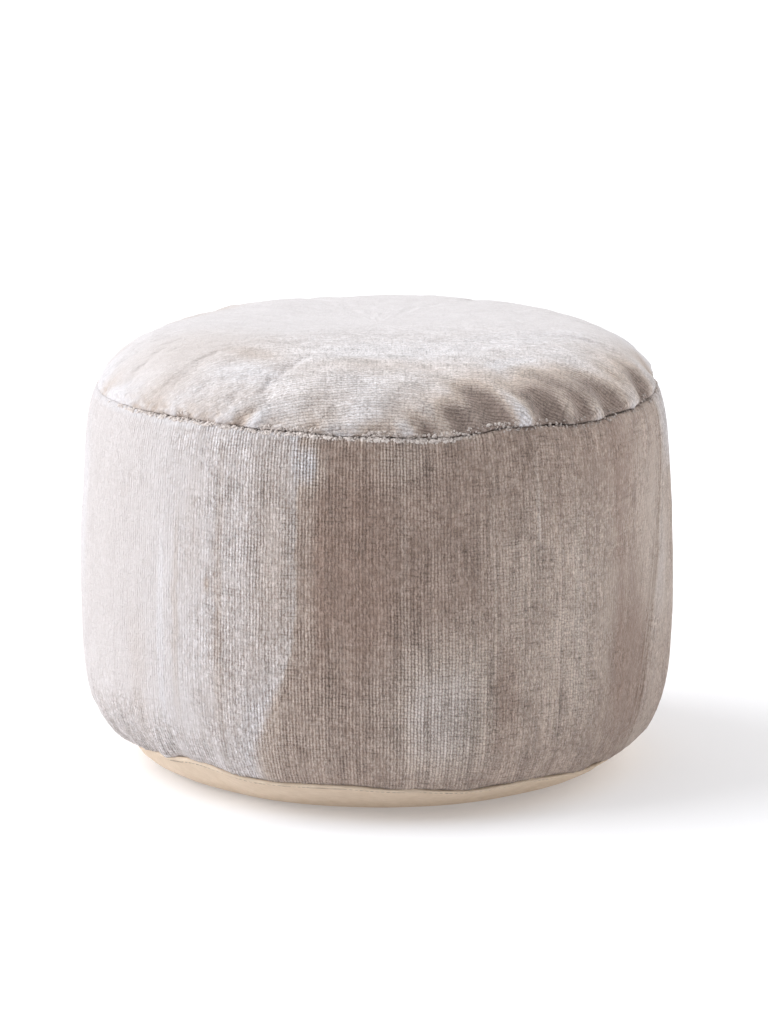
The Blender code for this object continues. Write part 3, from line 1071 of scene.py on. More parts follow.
@dataclass
class TopPanel:
    """The round top cut, eased onto its seam with uneven puckers."""

    form: PoufForm
    columns: int = 900
    rows: int = 106
    spacing: tuple[float, float, float] = (0.0007, 0.0036, 0.0065)
    lip: tuple[Station, ...] = table(
        Station, (0.2346, 0.0000), (0.2356, 0.0004), (0.2364, 0.0014), (0.2369, 0.0036)
    )
    matted_edge: float = 0.2384
    matted_slope: float = 0.35
    matted_reach: float = 0.0090
    crown: tuple[Station, ...] = table(
        Station, (0.2353, 0.0086), (0.2306, 0.0150), (0.2222, 0.0238), (0.2092, 0.0325),
        (0.1912, 0.0405), (0.1660, 0.0463), (0.1300, 0.0497), (0.0880, 0.0510),
        (0.0440, 0.0514), (0.0, 0.0515),
    )
    dents: float = 0.0007
    ruffle: float = 0.0008
    ruffle_start: float = 0.005
    ruffle_reach: float = 0.0080
    sharper: float = 1.30
    calm_left: float = 0.62
    calm_window: Window = Window(-62.0, 50.0)
    gathers: float = 0.0014
    gathers_reach: float = 0.0160
    held: float = 0.004
    # The top's nap is lifted and pale all over; the pale colour carries painted sheen
    lay_level: float = 0.92
    # Painted light on the puckers: troughs painted darker, ridges painted paler
    trough_painted_shade: float = 360.0
    ridge_painted_highlight: float = 520.0
    rim_right: float = -1.95
    rim_right_reach: float = 0.050
    rim_right_window: Window = Window(44.0, 40.0, 6)
    rim_left: float = -0.50
    rim_left_reach: float = 0.016
    rim_left_window: Window = Window(-22.0, 34.0)
    crisp_front: float = 0.64
    crisp_back: float = -0.50
    trough_crisp: float = 150.0
    # Painted shade in the pucker troughs, and how far the painted shade reaches into the seam's
    # groove
    trough_shade: float = 14.0
    groove: float = 0.0021
    nap: tuple[TopNap, ...] = table(
        TopNap, (0.150, -0.160, 0.060, 0.024, 40, -0.45), (0.110, -0.140, 0.026, 0.009, 46, 0.50),
        (-0.070, -0.205, 0.080, 0.022, -18, -0.20), (-0.100, -0.130, 0.030, 0.012, -45, -0.30),
        (0.000, -0.170, 0.060, 0.018, 5, -0.40), (0.020, -0.120, 0.060, 0.020, 15, 0.30),
        (-0.110, -0.165, 0.040, 0.014, -35, 0.40), (0.120, -0.060, 0.060, 0.020, 30, 0.20),
        (-0.150, -0.110, 0.100, 0.070, -40, -0.36), (-0.160, 0.120, 0.060, 0.030, 40, -0.50),
        (0.120, 0.180, 0.050, 0.024, -30, -0.60), (-0.030, 0.205, 0.060, 0.016, 5, -0.50),
    )
    curve: ProfileCurve = field(init=False)

    def __post_init__(self) -> None:
        """Runs the profile from inside the seam's groove to the middle of the crown."""
        self.curve = ProfileCurve(self.lip + self.crown, level_end=True)

    def sharpness(self, azimuth: Array) -> Array:
        """How much the puckers are drawn in: full at the front right, calm on the left."""
        return self.sharper * (1.0 - self.calm_left * self.calm_window.at(azimuth))

    def surface(self, azimuth: Array, distance: Array) -> Array:
        """Points of the panel without its fine unevenness.

        Args:
            azimuth: degrees around, by row and column.
            distance: the rows' places along the cloth from the groove, as a column.

        Returns:
            The points by row and column.
        """
        form = self.form
        radius, rise = self.curve.at(distance)
        out, up = self.curve.normal(distance)
        nearness = radius / form.top_seam_radius
        drawn = form.puckers_depth(azimuth, distance) * self.sharpness(azimuth)
        filled = self.matted_edge - self.matted_slope * distance - radius
        filled = np.maximum(filled, 0.0) * (distance < self.matted_reach)
        radius = radius + filled * form.looks.matting(azimuth)
        radius = radius + form.fill_swell(azimuth, form.top_seam_height) * nearness**form.swell_fade
        radius = radius - drawn * out
        level = form.top_seam_height + form.half_gap
        seam = level + form.seam_rise(ClothSide.TOP, azimuth) * nearness**form.seam_wave_fade
        angle = np.radians(azimuth)
        lump = form.crown_lump(radius * np.sin(angle), -radius * np.cos(angle))
        lift = lump * (rise / form.crown_rise) ** form.lump_fade
        return around(azimuth, radius, seam + rise + lift - drawn * up)

    def lay(self, points: Array) -> Array:
        """How the nap lies: below 0 crushed and dark, above 0 lifted and light, where the pale
        colour carries painted sheen.
        """
        tone = np.full(points.shape[:2], self.lay_level)
        for stroke in self.nap:
            turn = math.radians(stroke.turn)
            x, y = points[..., 0] - stroke.x, points[..., 1] - stroke.y
            along = (x * math.cos(turn) + y * math.sin(turn)) / stroke.half_length
            across = (y * math.cos(turn) - x * math.sin(turn)) / stroke.half_width
            tone += stroke.tone * np.exp(-((along**2 + across**2) ** 1.5))
        return tone

    def rim_lay(self, azimuth: Array, distance: Array) -> Array:
        """The nap turned down along the rim: deep at the front right, narrow at the left."""
        uneven = self.rim_right_reach * (1.0 + 0.35 * RingNoise(46, 1, 15).at(azimuth))
        right = self.rim_right * self.rim_right_window.at(azimuth)
        left = self.rim_left * self.rim_left_window.at(azimuth)
        right = right * np.exp(-((distance / uneven) ** 2))
        return right + left * np.exp(-((distance / self.rim_left_reach) ** 2))

    def build(self, drift: Drift | None, material: bpy.types.Material) -> Thing:
        """Builds and dresses the panel.

        Args:
            drift: the settled cloth's movement, or None while trying things.
            material: the pile cloth.

        Returns:
            The piece.
        """
        distance = self.curve.rows(self.rows + 1, *self.spacing)[:-1]
        azimuth = turns(self.columns, self.rows)
        points = self.surface(azimuth, distance)
        out, up = self.curve.normal(distance)
        share = distance / self.curve.length
        inward = 1.0 - share
        dent = RingNoise(64, 16, 11).at(azimuth, share) * self.dents * np.minimum(1.0, inward * 3.0)
        ripple = RingNoise(170, 30, 12).at(azimuth, share) * 0.35 * self.dents * inward
        edge = np.exp(-np.maximum(distance - self.ruffle_start, 0.0) / self.ruffle_reach)
        rough = RingNoise(420, 95, 13).at(azimuth, share) * self.ruffle * edge
        gather = RingNoise(150, 26, 14).at(azimuth, share) * self.gathers
        gather = gather * np.exp(-distance / self.gathers_reach)
        push = dent + ripple + (rough + gather) * eased(distance / self.held)
        points += around(azimuth, push * out, push * up)
        if drift is not None:
            points += drift.at(azimuth, distance)
        middle = Vector((0.0, 0.0, self.form.top_seam_height + self.form.half_gap))
        body = ClothMesh("top_panel_cloth", points, (middle, Vector(points[-1].mean(axis=0))))
        flat = around(turns(self.columns, self.rows, 1), self.curve.length - distance, 0.0)
        body.corner_place(flat[..., 1], flat[..., 0])
        drawn = self.form.folds_depth(self.form.top_puckers, azimuth, distance)
        drawn = drawn * self.sharpness(azimuth) / self.sharper
        trough, ridge = np.maximum(drawn, 0.0), np.maximum(-drawn, 0.0)
        lay = self.lay(points) + self.rim_lay(azimuth, distance)
        # Painted light on the ruffled rim: proud crumbs paler, hollows darker
        lay = lay + rough / self.ruffle * 0.35 + gather / self.gathers * 0.35
        # Painted shade in the pucker troughs and painted highlight on their ridges
        body.point_value("lay", lay - trough * self.trough_painted_shade + ridge * self.ridge_painted_highlight)
        front = eased((0.03 - points[..., 1]) / 0.16)
        front = front * (1.0 - 0.8 * self.form.looks.matting(azimuth))
        front = front * (0.35 + 0.65 * eased((points[..., 0] + 0.17) / 0.13))
        crisp = self.crisp_back + (self.crisp_front - self.crisp_back) * front
        crisp = crisp + RingNoise(60, 20, 16).at(azimuth, share) * 0.25 * front
        body.point_value("crisp", np.clip(crisp + trough * self.trough_crisp, -0.6, 1.0))
        # Painted shade in the seam's groove and the pucker troughs
        groove = np.exp(-((distance / self.groove) ** 4)) * self.form.looks.top_seam_shade(azimuth)
        body.point_value("painted_shade", np.clip(groove + trough * self.trough_shade, 0.0, 0.95))
        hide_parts("top_panel")
        return dress(body.piece, material)


@dataclass
class SideBand:
    """The band of pile cloth, ribbed upright and closed by one leaning seam on the right."""

    form: PoufForm
    ribs: int = 572
    columns_per_rib: int = 4
    rows: int = 43
    spacing: tuple[float, float, float] = (0.0007, 0.0105, 0.0035)
    foot: tuple[Station, ...] = table(
        Station, (0.2262, 0.000), (0.2312, 0.0003), (0.2337, 0.0012), (0.2349, 0.0044),
        (0.2364, 0.0130), (0.2412, 0.040), (0.2476, 0.090),
    )
    side: tuple[Station, ...] = table(
        Station, (0.2522, 0.170), (0.2542, 0.270), (0.2550, 0.385), (0.2547, 0.500),
        (0.2534, 0.615), (0.2514, 0.725), (0.2495, 0.825), (0.2471, 0.905), (0.2441, 0.955),
        (0.2415, 0.982),
    )
    shoulder: tuple[Station, ...] = table(
        Station, (0.2400, 0.9922), (0.2386, 0.9965), (0.2366, 0.9989), (0.2346, 1.000)
    )
    shoulder_share: float = 0.9925
    shoulder_slope: float = 0.20
    crisp_relief: float = 0.00085
    matted_relief: float = 0.00022
    wander: float = 0.16
    dents: float = 0.0005
    ruffle: float = 0.0006
    ruffle_start: float = 0.004
    foot_start: float = 0.008
    ruffle_reach: float = 0.0040
    # Paler pile under the top seam: pile laid by brushing, with a painted highlight on the shoulder
    pale_edge: float = 1.1
    pale_edge_width: float = 0.0062
    closing_depth: float = 0.0018
    closing_half_width: float = 0.55
    closing_bluntness: float = 0.35
    closing_lip: float = 0.0008
    # How far the painted shade reaches below the top seam and above the base seam
    groove: float = 0.0019
    foot_groove: float = 0.0030
    # Where the nap turns over: the pale left half carries painted sheen, and the tone right of the
    # closing seam is lifted to paint light from the right
    nap_edges: tuple[NapEdge, ...] = table(
        NapEdge, (-140.0, -133.0, 0.180, 0.060, 3.0, 0.85),
        (-15.2, -24.0, 0.105, 0.060, 1.4, -0.25), (-11.5, -20.0, 0.105, 0.060, 2.6, -0.72),
        (73.5, 59.0, 0.180, 0.170, 2.2, -0.25), (86.0, 80.0, 0.210, 0.100, 4.0, 0.20),
        (118.0, 112.0, 0.210, 0.040, 2.5, -0.70), (164.0, 169.0, 0.100, 0.050, 2.0, 0.20),
    )
    edge_fray: float = 0.5
    nap: tuple[BandNap, ...] = table(
        BandNap,
        # The front left, lifted and pale with painted sheen: upright tone lines and a soft fall
        # towards the edge
        (-62.0, 0.200, 16.0, 0.160, -0.12), (-20.0, 0.230, 5.0, 0.120, -0.30),
        (-28.0, 0.160, 5.0, 0.080, -0.25, 3), (-19.0, 0.150, 5.0, 0.080, -0.14),
        (-18.5, 0.240, 3.6, 0.080, -0.24), (-27.0, 0.275, 6.0, 0.040, -0.14),
        (-30.0, 0.085, 8.0, 0.050, -0.13), (-31.0, 0.190, 0.9, 0.110, -0.30),
        (-45.0, 0.150, 0.8, 0.070, 0.35), (-41.0, 0.170, 0.8, 0.090, -0.35),
        (-37.0, 0.240, 2.4, 0.060, -0.20, 3), (-52.0, 0.100, 2.6, 0.060, -0.18, 3),
        (-33.5, 0.197, 0.7, 0.004, -0.90, 2),
        # The front, crushed: pale streaks under the top seam, painted highlights where crisp ribs
        # catch the light, and on the right a pale stroke that paints light
        (-13.2, 0.302, 2.4, 0.016, 1.30), (-9.8, 0.300, 0.5, 0.014, 0.60),
        (5.2, 0.306, 5.0, 0.014, 0.34), (12.8, 0.105, 8.4, 0.062, 0.54),
        (9.0, 0.085, 12.0, 0.065, 0.48), (-6.5, 0.220, 7.0, 0.070, -0.45),
        (35.0, 0.150, 14.0, 0.120, 0.42), (65.0, 0.220, 8.0, 0.110, 0.58),
        (80.0, 0.080, 16.0, 0.060, -0.35), (-7.0, 0.160, 2.6, 0.030, 0.25, 3),
        (-16.0, 0.070, 10.5, 0.050, 0.35, 6), (-1.0, 0.210, 9.0, 0.060, -0.15, 3),
        (5.0, 0.220, 0.7, 0.090, 0.25), (22.0, 0.230, 0.6, 0.080, 0.25),
        (24.7, 0.108, 2.6, 0.038, -0.45), (31.4, 0.262, 0.5, 0.040, 0.60),
        (56.0, 0.110, 8.0, 0.055, -0.45), (51.0, 0.285, 14.0, 0.030, -0.15),
        (40.5, 0.190, 1.4, 0.110, 0.22), (47.0, 0.200, 5.0, 0.120, 0.20, 3),
        (42.0, 0.160, 22.0, 0.150, 0.14), (52.0, 0.190, 1.2, 0.110, -0.25),
        (58.0, 0.130, 3.0, 0.080, -0.25, 3), (82.0, 0.300, 8.5, 0.040, 1.20),
        # The sides and back that the photograph hides
        (100.0, 0.120, 5.0, 0.090, -0.35), (130.0, 0.240, 5.0, 0.050, 0.50, 5),
        (148.0, 0.130, 4.0, 0.090, 0.25), (-172.0, 0.220, 6.0, 0.070, -0.40, 5),
        (-155.0, 0.120, 5.0, 0.080, 0.35), (-120.0, 0.200, 5.0, 0.100, -0.45),
        (-98.0, 0.110, 4.0, 0.080, -0.30), (-80.0, 0.230, 5.0, 0.060, 0.25, 3),
    )
    crisp_level: float = 0.46
    crisp_noise: float = 0.36
    crisp: tuple[BandNap, ...] = table(
        BandNap, (5.2, 0.304, 5.2, 0.018, 0.80), (12.8, 0.105, 8.2, 0.062, 0.85),
        (-28.0, 0.200, 14.0, 0.160, -0.14, 3), (-42.0, 0.150, 9.0, 0.200, -0.30),
        (-13.2, 0.302, 2.6, 0.018, 0.60), (26.0, 0.200, 7.0, 0.090, 0.25, 3),
        (38.0, 0.130, 6.0, 0.060, 0.25, 3), (-90.0, 0.200, 50.0, 0.220, -1.15, 6),
        (-58.0, 0.040, 17.0, 0.045, 0.80), (-4.0, 0.210, 7.0, 0.050, -0.20, 3),
        (62.0, 0.180, 18.0, 0.200, -0.50), (150.0, 0.180, 14.0, 0.090, 0.50),
        (-150.0, 0.120, 10.0, 0.070, 0.50), (-100.0, 0.240, 8.0, 0.060, 0.45),
    )
    curve: ProfileCurve = field(init=False)
    tallness: float = field(init=False)

    def __post_init__(self) -> None:
        """Runs the profile from inside the base seam to inside the top seam, in metres."""
        self.tallness = self.form.top_seam_height - self.form.base_seam_height
        stations = self.foot + self.side + self.shoulder
        self.curve = ProfileCurve([Station(s.radius, s.rise * self.tallness) for s in stations])

    def surface(self, column: Array, distance: Array) -> tuple[Array, Array]:
        """Points of the band without its ribs.

        Args:
            column: the columns' own azimuths, by row and column.
            distance: the rows' places along the cloth from the base seam, as a column.

        Returns:
            The points, and the azimuths that they stand at.
        """
        form = self.form
        radius, rise = self.curve.at(distance)
        share = rise / self.tallness
        azimuth = form.closing_seam_pull(column, share)
        low = form.seam_height(ClothSide.BASE, azimuth) + form.half_gap
        high = form.seam_height(ClothSide.TOP, azimuth) - form.half_gap
        height = low + (high - low) * share
        tuck = form.folds_depth(form.base_tucks, azimuth, height - low) * (share > 0.0)
        filled = self.shoulder_slope * (share - self.shoulder_share)
        filled = self.shoulder[0].radius - filled - radius
        filled = np.maximum(filled, 0.0) * (share > self.shoulder_share)
        radius = radius + filled * form.looks.matting(azimuth)
        radius = radius + form.fill_swell(azimuth, height) - tuck
        radius = radius - form.foot_drawn(azimuth, height - low)
        return around(azimuth, radius, height), azimuth

    def closing_groove(self, column: Array, share: Array) -> Array:
        """How far the closing seam draws the cloth in; its two lips push it out a little."""
        off = turn_between(column, self.form.closing_column)
        fade = np.maximum(0.0, np.sin(np.pi * share)) ** self.closing_bluntness
        line = np.exp(-((off / self.closing_half_width) ** 2))
        dip = np.exp(-((off / (5.0 * self.closing_half_width)) ** 2))
        lips = np.exp(-((np.abs(off) / self.closing_half_width - 2.4) ** 2))
        return fade * (self.closing_depth * (0.62 * line + 0.38 * dip) - self.closing_lip * lips)

    @staticmethod
    def strokes(nap: Sequence[BandNap], azimuth: Array, height: Array) -> Array:
        """The sum of a table's strokes at azimuths and heights, each fading at its edges."""
        tone = np.zeros(azimuth.shape)
        for stroke in nap:
            across = np.abs(turn_between(azimuth, stroke.azimuth)) / stroke.half_turn
            up = np.abs(height - stroke.height) / stroke.half_height
            tone += stroke.tone * np.exp(-(across**stroke.edge)) * np.exp(-(up**3))
        return tone

    def lay(self, azimuth: Array, height: Array) -> Array:
        """How the nap lies: below 0 crushed and dark, above 0 lifted and light, where the pale
        colour carries painted sheen; on the right it also holds painted light.
        """
        before = self.nap_edges[-1].tone
        tone = np.full(azimuth.shape, before)
        turned = turn_between(azimuth, 0.0)
        share = height / self.form.top_seam_height
        ragged = self.edge_fray * RingNoise(240, 60, 27).at(azimuth, share)
        for edge in self.nap_edges:
            over = eased((height - edge.step + edge.reach) / (2.0 * edge.reach))
            place = edge.below + (edge.above - edge.below) * over
            blur = edge.blur * (3.0 - 2.0 * over)
            tone += (edge.tone - before) * eased((turned + ragged - place) / blur + 0.5)
            before = edge.tone
        return tone + self.strokes(self.nap, azimuth + ragged, height)

    def build(self, drift: Drift | None, material: bpy.types.Material) -> Thing:
        """Builds and dresses the band.

        Args:
            drift: the settled cloth's movement, or None while trying things.
            material: the pile cloth.

        Returns:
            The piece.
        """
        form = self.form
        columns = self.ribs * self.columns_per_rib
        distance = self.curve.rows(self.rows, *self.spacing)
        share = self.curve.at(distance)[1] / self.tallness
        start = form.closing_column
        column = np.tile(start + np.arange(columns) * 360.0 / columns, (self.rows, 1))
        middle = np.sin(np.pi * share)
        stray = RingNoise(48, 10, 21).at(column, share) * self.wander * middle
        free = 1.0 - Window(start, 4.0, 2).at(column)
        points, azimuth = self.surface(column + stray * free, distance)
        out, up = self.curve.normal(distance)
        crisp = RingNoise(110, 22, 22).at(column, share) * self.crisp_noise + self.crisp_level
        crisp = np.clip(crisp + self.strokes(self.crisp, azimuth, points[..., 2]), -0.6, 1.0)
        relief = self.matted_relief + (self.crisp_relief - self.matted_relief) * eased(crisp)
        rib = np.abs(np.sin(np.pi * np.arange(columns) / self.columns_per_rib)) ** 0.8
        from_top = self.curve.length - distance
        ends = eased(distance / 0.004) * eased(from_top / 0.005)
        push = (rib[None, :] - 1.0) * relief * ends
        push = push + RingNoise(70, 12, 23).at(column, share) * self.dents * middle
        push = push + RingNoise(190, 26, 24).at(column, share) * 0.4 * self.dents * middle
        edge = np.exp(-np.maximum(from_top - self.ruffle_start, 0.0) / self.ruffle_reach)
        rough = RingNoise(460, 110, 25).at(column, share) * self.ruffle * edge
        push = push + rough * eased(from_top / self.ruffle_start)
        foot = np.exp(-np.maximum(distance - self.foot_start, 0.0) / self.ruffle_reach)
        push = push + RingNoise(430, 110, 26).at(column, share) * self.ruffle * foot
        push = push - self.closing_groove(column, share)
        points += around(azimuth, push * out, push * up)
        if drift is not None:
            points += drift.at(azimuth, distance)
        low = Vector((0.0, 0.0, form.base_seam_height + form.half_gap))
        high = Vector((0.0, 0.0, form.top_seam_height - form.half_gap))
        body = ClothMesh("side_band_cloth", points, (low, high))
        pitch = 2.0 * math.pi * form.widest_radius / self.ribs
        across = np.tile(np.arange(columns + 1) / self.columns_per_rib * pitch, (self.rows, 1))
        body.corner_place(across, np.repeat(distance, columns + 1, axis=1))
        # Paler under the top seam, except on the right: painted highlight on the shoulder, partly
        # pile laid by brushing
        brushed = np.exp(-((from_top / self.pale_edge_width) ** 4))
        brushed = brushed * (1.0 - eased((turn_between(azimuth, -20.0) - 34.0) / 12.0))
        # Painted light on the ruffled edge: proud crumbs paler, hollows darker
        lay = self.lay(azimuth, points[..., 2]) + rough / self.ruffle * 0.3
        body.point_value("lay", lay + brushed * self.pale_edge)
        body.point_value("crisp", crisp)
        # Painted shade in the top seam's groove, above the base seam and along the closing seam
        above = np.exp(-((from_top / self.groove) ** 4)) * form.looks.top_seam_shade(azimuth)
        below = np.exp(-((distance / self.foot_groove) ** 4)) * 0.15
        seam_line = Window(start, 0.6 * self.closing_half_width, 2).at(column)
        painted_shade = above + below + seam_line * 0.22 * middle
        body.point_value("painted_shade", np.clip(painted_shade, 0.0, 0.95))
        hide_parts("side_band")
        return dress(body.piece, material)


@dataclass
class BasePanel:
    """The canvas base: flat on the floor, then turned up under the band."""

    form: PoufForm
    columns: int = 720
    rows: int = 84
    spacing: tuple[float, float, float] = (0.0005, 0.0024, 0.010)
    stations: tuple[Station, ...] = table(
        Station, (0.1780, 0.00), (0.1895, 0.05), (0.2012, 0.20), (0.2132, 0.44),
        (0.2236, 0.74), (0.2286, 0.870), (0.2300, 0.896), (0.2322, 0.915), (0.2341, 0.945),
        (0.2343, 0.990), (0.2330, 1.026), (0.2276, 1.00),
    )
    pleats: float = 0.0006
    lip_ruffle: float = 0.0011
    lip_outward: float = 0.6
    lip_upward: float = 0.35
    lip_foot: float = 0.895
    lip_top: float = 1.026
    lip_fade: float = 0.03
    lip_foot_half: float = 0.034
    lip_shade: float = 0.95
    seam_shade: float = 0.2
    seam_shade_reach: float = 0.0032
    tuck_left: float = 0.0080
    tuck_left_window: Window = Window(-90.0, 38.0, 6)
    tuck_right: float = 0.0045
    tuck_right_window: Window = Window(88.0, 36.0, 6)
    curve: ProfileCurve = field(init=False)

    def __post_init__(self) -> None:
        """Runs the profile from the floor to the seam, in metres."""
        height = self.form.base_seam_height
        self.curve = ProfileCurve([Station(s.radius, s.rise * height) for s in self.stations])

    def tucked(self, azimuth: Array, share: Array) -> Array:
        """How far the canvas is pulled in under the band, out of sight at the left and right."""
        far = self.tuck_left * self.tuck_left_window.at(azimuth)
        far = far + self.tuck_right * self.tuck_right_window.at(azimuth)
        drawn = self.form.foot_drawn(azimuth, self.form.base_seam_height * (1.0 - share))
        return far * eased((share - 0.25) / 0.55) + drawn

    def build(self, material: bpy.types.Material) -> Thing:
        """Builds and dresses the base; returns the piece."""
        form = self.form
        distance = self.curve.rows(self.rows, *self.spacing)
        azimuth = turns(self.columns, self.rows)
        radius, rise = self.curve.at(distance)
        share = np.clip(rise / form.base_seam_height, 0.0, self.lip_top)
        seam = form.seam_height(ClothSide.BASE, azimuth) - form.half_gap
        pleat = RingNoise(110, 8, 31).at(azimuth, share) * self.pleats * eased(share * 4.0)
        lip = eased((share - self.lip_foot) / self.lip_fade)
        lip = lip * eased((self.lip_top - share) / self.lip_fade)
        ruffle = RingNoise(300, 1, 33).at(azimuth) + 0.6 * RingNoise(620, 1, 34).at(azimuth)
        ruffle = lip * ruffle * self.lip_ruffle
        radius = radius + form.fill_swell(azimuth, seam) * share + pleat
        radius = radius + ruffle * self.lip_outward - self.tucked(azimuth, share)
        points = around(azimuth, radius, seam * share + ruffle * self.lip_upward)
        high = Vector((0.0, 0.0, form.base_seam_height - form.half_gap))
        body = ClothMesh("base_panel_canvas", points, (None, high))
        body.mesh.set_sharp_from_angle(angle=math.radians(60))
        reach = self.stations[0].radius + distance
        flat = around(turns(self.columns, self.rows, 1), reach, 0.0)
        body.corner_place(flat[..., 0], flat[..., 1])
        # Painted shade: where the canvas goes in under the band, and in broken gaps under the lip
        hidden = np.exp(-(((self.curve.length - distance) / self.seam_shade_reach) ** 4))
        under = np.exp(-(((share - self.lip_foot) / self.lip_foot_half) ** 2))
        shade = under * form.looks.lip_gap_shade(azimuth) * self.lip_shade
        body.point_value("painted_shade", hidden * self.seam_shade + shade)
        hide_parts("base_panel")
        return dress(body.piece, material)


class Strands(NamedTuple):
    """Many short strands as one mesh: their middle lines, widths by step, and tones 0 to 1."""

    lines: Array
    thickness: Array
    lay: Array

    def build(self, name: str, sides: int = 4) -> Thing:
        """Makes the mesh, with the attributes cloth and lay; returns the piece."""
        count, steps = self.lines.shape[:2]
        way = np.gradient(self.lines, axis=1)
        way /= np.maximum(np.linalg.norm(way, axis=2, keepdims=True), 1e-9)
        aside = np.cross(way, (0.31, 0.17, 0.93))
        aside /= np.maximum(np.linalg.norm(aside, axis=2, keepdims=True), 1e-9)
        other = np.cross(way, aside)[:, :, None]
        turn = (np.arange(sides) * 2.0 * math.pi / sides)[:, None]
        spread = aside[:, :, None] * np.cos(turn) + other * np.sin(turn)
        points = self.lines[:, :, None] + spread * (self.thickness[:, :, None, None] / 2.0)
        per = steps * sides
        side = np.arange(sides)
        after = (side + 1) % sides
        low = np.arange(steps - 1)[:, None] * sides
        high = low + sides
        walls = np.stack([low + side, low + after, high + after, high + side], axis=-1)
        start = (np.arange(count) * per)[:, None]
        faces = (start[:, :, None] + walls.reshape(1, -1, 4)).reshape(-1, 4).tolist()
        faces += (start + side[::-1][None]).tolist()
        faces += (start + (per - sides) + side[None]).tolist()
        mesh = bpy.data.meshes.new(name)
        mesh.from_pydata(points.reshape(-1, 3).tolist(), [], faces)
        mesh.shade_smooth()
        tone = mesh.attributes.new("lay", "FLOAT", "POINT")
        tone.data.foreach_set("value", np.repeat(self.lay, per).astype(np.float32))
        place = mesh.attributes.new("cloth", "FLOAT_VECTOR", "POINT")
        place.data.foreach_set("vector", points.reshape(-1).astype(np.float32))
        return linked(name, mesh)


class TuftRow(NamedTuple):
    """A row of tufts: its piece, its thick stretch in degrees and how thin it is elsewhere."""

    on_band: bool
    thick_from: float
    thick_to: float
    thin_share: float
    count: int


@dataclass
class TopSeamTufts:
    """Crumbs of pile that stand out of the top seam, on the band's edge and on the top's."""

    band: SideBand
    top: TopPanel
    steps: int = 5
    length: float = 0.0021
    width: float = 0.00270
    nearest: float = 0.0008
    furthest: float = 0.0062
    outward: float = 0.35
    rows: tuple[TuftRow, ...] = table(
        TuftRow, (True, -64.0, 17.0, 0.16, 7400), (False, -24.0, 34.0, 0.30, 3400)
    )

    def roots(self, row: TuftRow, azimuth: Array, below: Array) -> tuple[Array, Array]:
        """Where the tufts of a row stand.

        Args:
            row: the row.
            azimuth: the tufts' azimuths.
            below: how far each stands from the seam along its panel.

        Returns:
            The roots, and how far up each tuft's cloth faces.
        """
        form = self.band.form
        curve = self.band.curve if row.on_band else self.top.curve
        place = curve.length - below if row.on_band else below
        radius, rise = curve.at(place)
        height = form.top_seam_height + form.seam_rise(ClothSide.TOP, azimuth)
        height = height + (rise - self.band.tallness if row.on_band else rise)
        radius = radius + form.fill_swell(azimuth, height)
        if not row.on_band:
            radius = radius - form.puckers_depth(azimuth, below) * 0.9
        return around(azimuth, radius - 0.25 * self.width, height), curve.normal(place)[1]

    def build(self, material: bpy.types.Material) -> Thing:
        """Builds and dresses the tufts; returns the piece."""
        draw = np.random.default_rng(41)
        lines, widths, tones = [], [], []
        steps = np.linspace(0.0, 1.0, self.steps)[None, :, None]
        belly = np.sqrt(np.sin(np.pi * np.linspace(0.12, 0.94, self.steps)))[None]
        for row in self.rows:
            azimuth = draw.uniform(-180.0, 180.0, row.count)
            thick = (azimuth > row.thick_from) & (azimuth < row.thick_to)
            sparse = row.thin_share * (1.0 - self.top.form.looks.matting(azimuth))
            keep = thick | (draw.uniform(0.0, 1.0, row.count) < sparse)
            clump = RingNoise(300, 1, 42).at(azimuth) * 0.5 + 0.5
            keep &= draw.uniform(0.0, 1.0, row.count) < 0.25 + 0.75 * clump
            azimuth, clump = azimuth[keep], clump[keep]
            count = len(azimuth)
            below = draw.uniform(self.nearest, self.furthest, count)
            root, up = self.roots(row, azimuth, below)
            reach = self.length * draw.uniform(0.45, 1.0, count) * (0.7 + 0.4 * clump)
            outward, along = around(azimuth, 1.0, 0.0), around(azimuth + 90.0, 1.0, 0.0)
            side = draw.normal(0.0, 0.9, count)[:, None]
            rise = (draw.normal(-0.2, 0.7, count) + 0.3 * up)[:, None]
            way = outward * self.outward + np.array((0.0, 0.0, 1.0)) * rise + along * side
            way /= np.linalg.norm(way, axis=1, keepdims=True)
            curl = draw.normal(0.0, 0.8, count)[:, None]
            bend = along * curl - outward * self.outward - np.array((0.0, 0.0, 0.3))
            curve = way[:, None] * steps + bend[:, None] * steps**2 * 0.6
            lines.append(root[:, None] + reach[:, None, None] * curve)
            widths.append(self.width * draw.uniform(0.55, 1.25, count)[:, None] * belly)
            # Painted shade: tufts darker past the thick stretch on the right, and darker still deep
            # in the seam
            shaded = 1.0 - 0.55 * eased((azimuth - row.thick_to + 14.0) / 28.0)
            deep = 0.12 + 0.88 * eased((below - 0.0010) / 0.0014)
            tone = draw.uniform(0.50, 1.0, count) * shaded * deep
            tones.append(tone * (1.0 if row.on_band else 0.8))
        strands = Strands(np.vstack(lines), np.vstack(widths), np.concatenate(tones))
        return dress(strands.build("top_seam_tufts"), material)


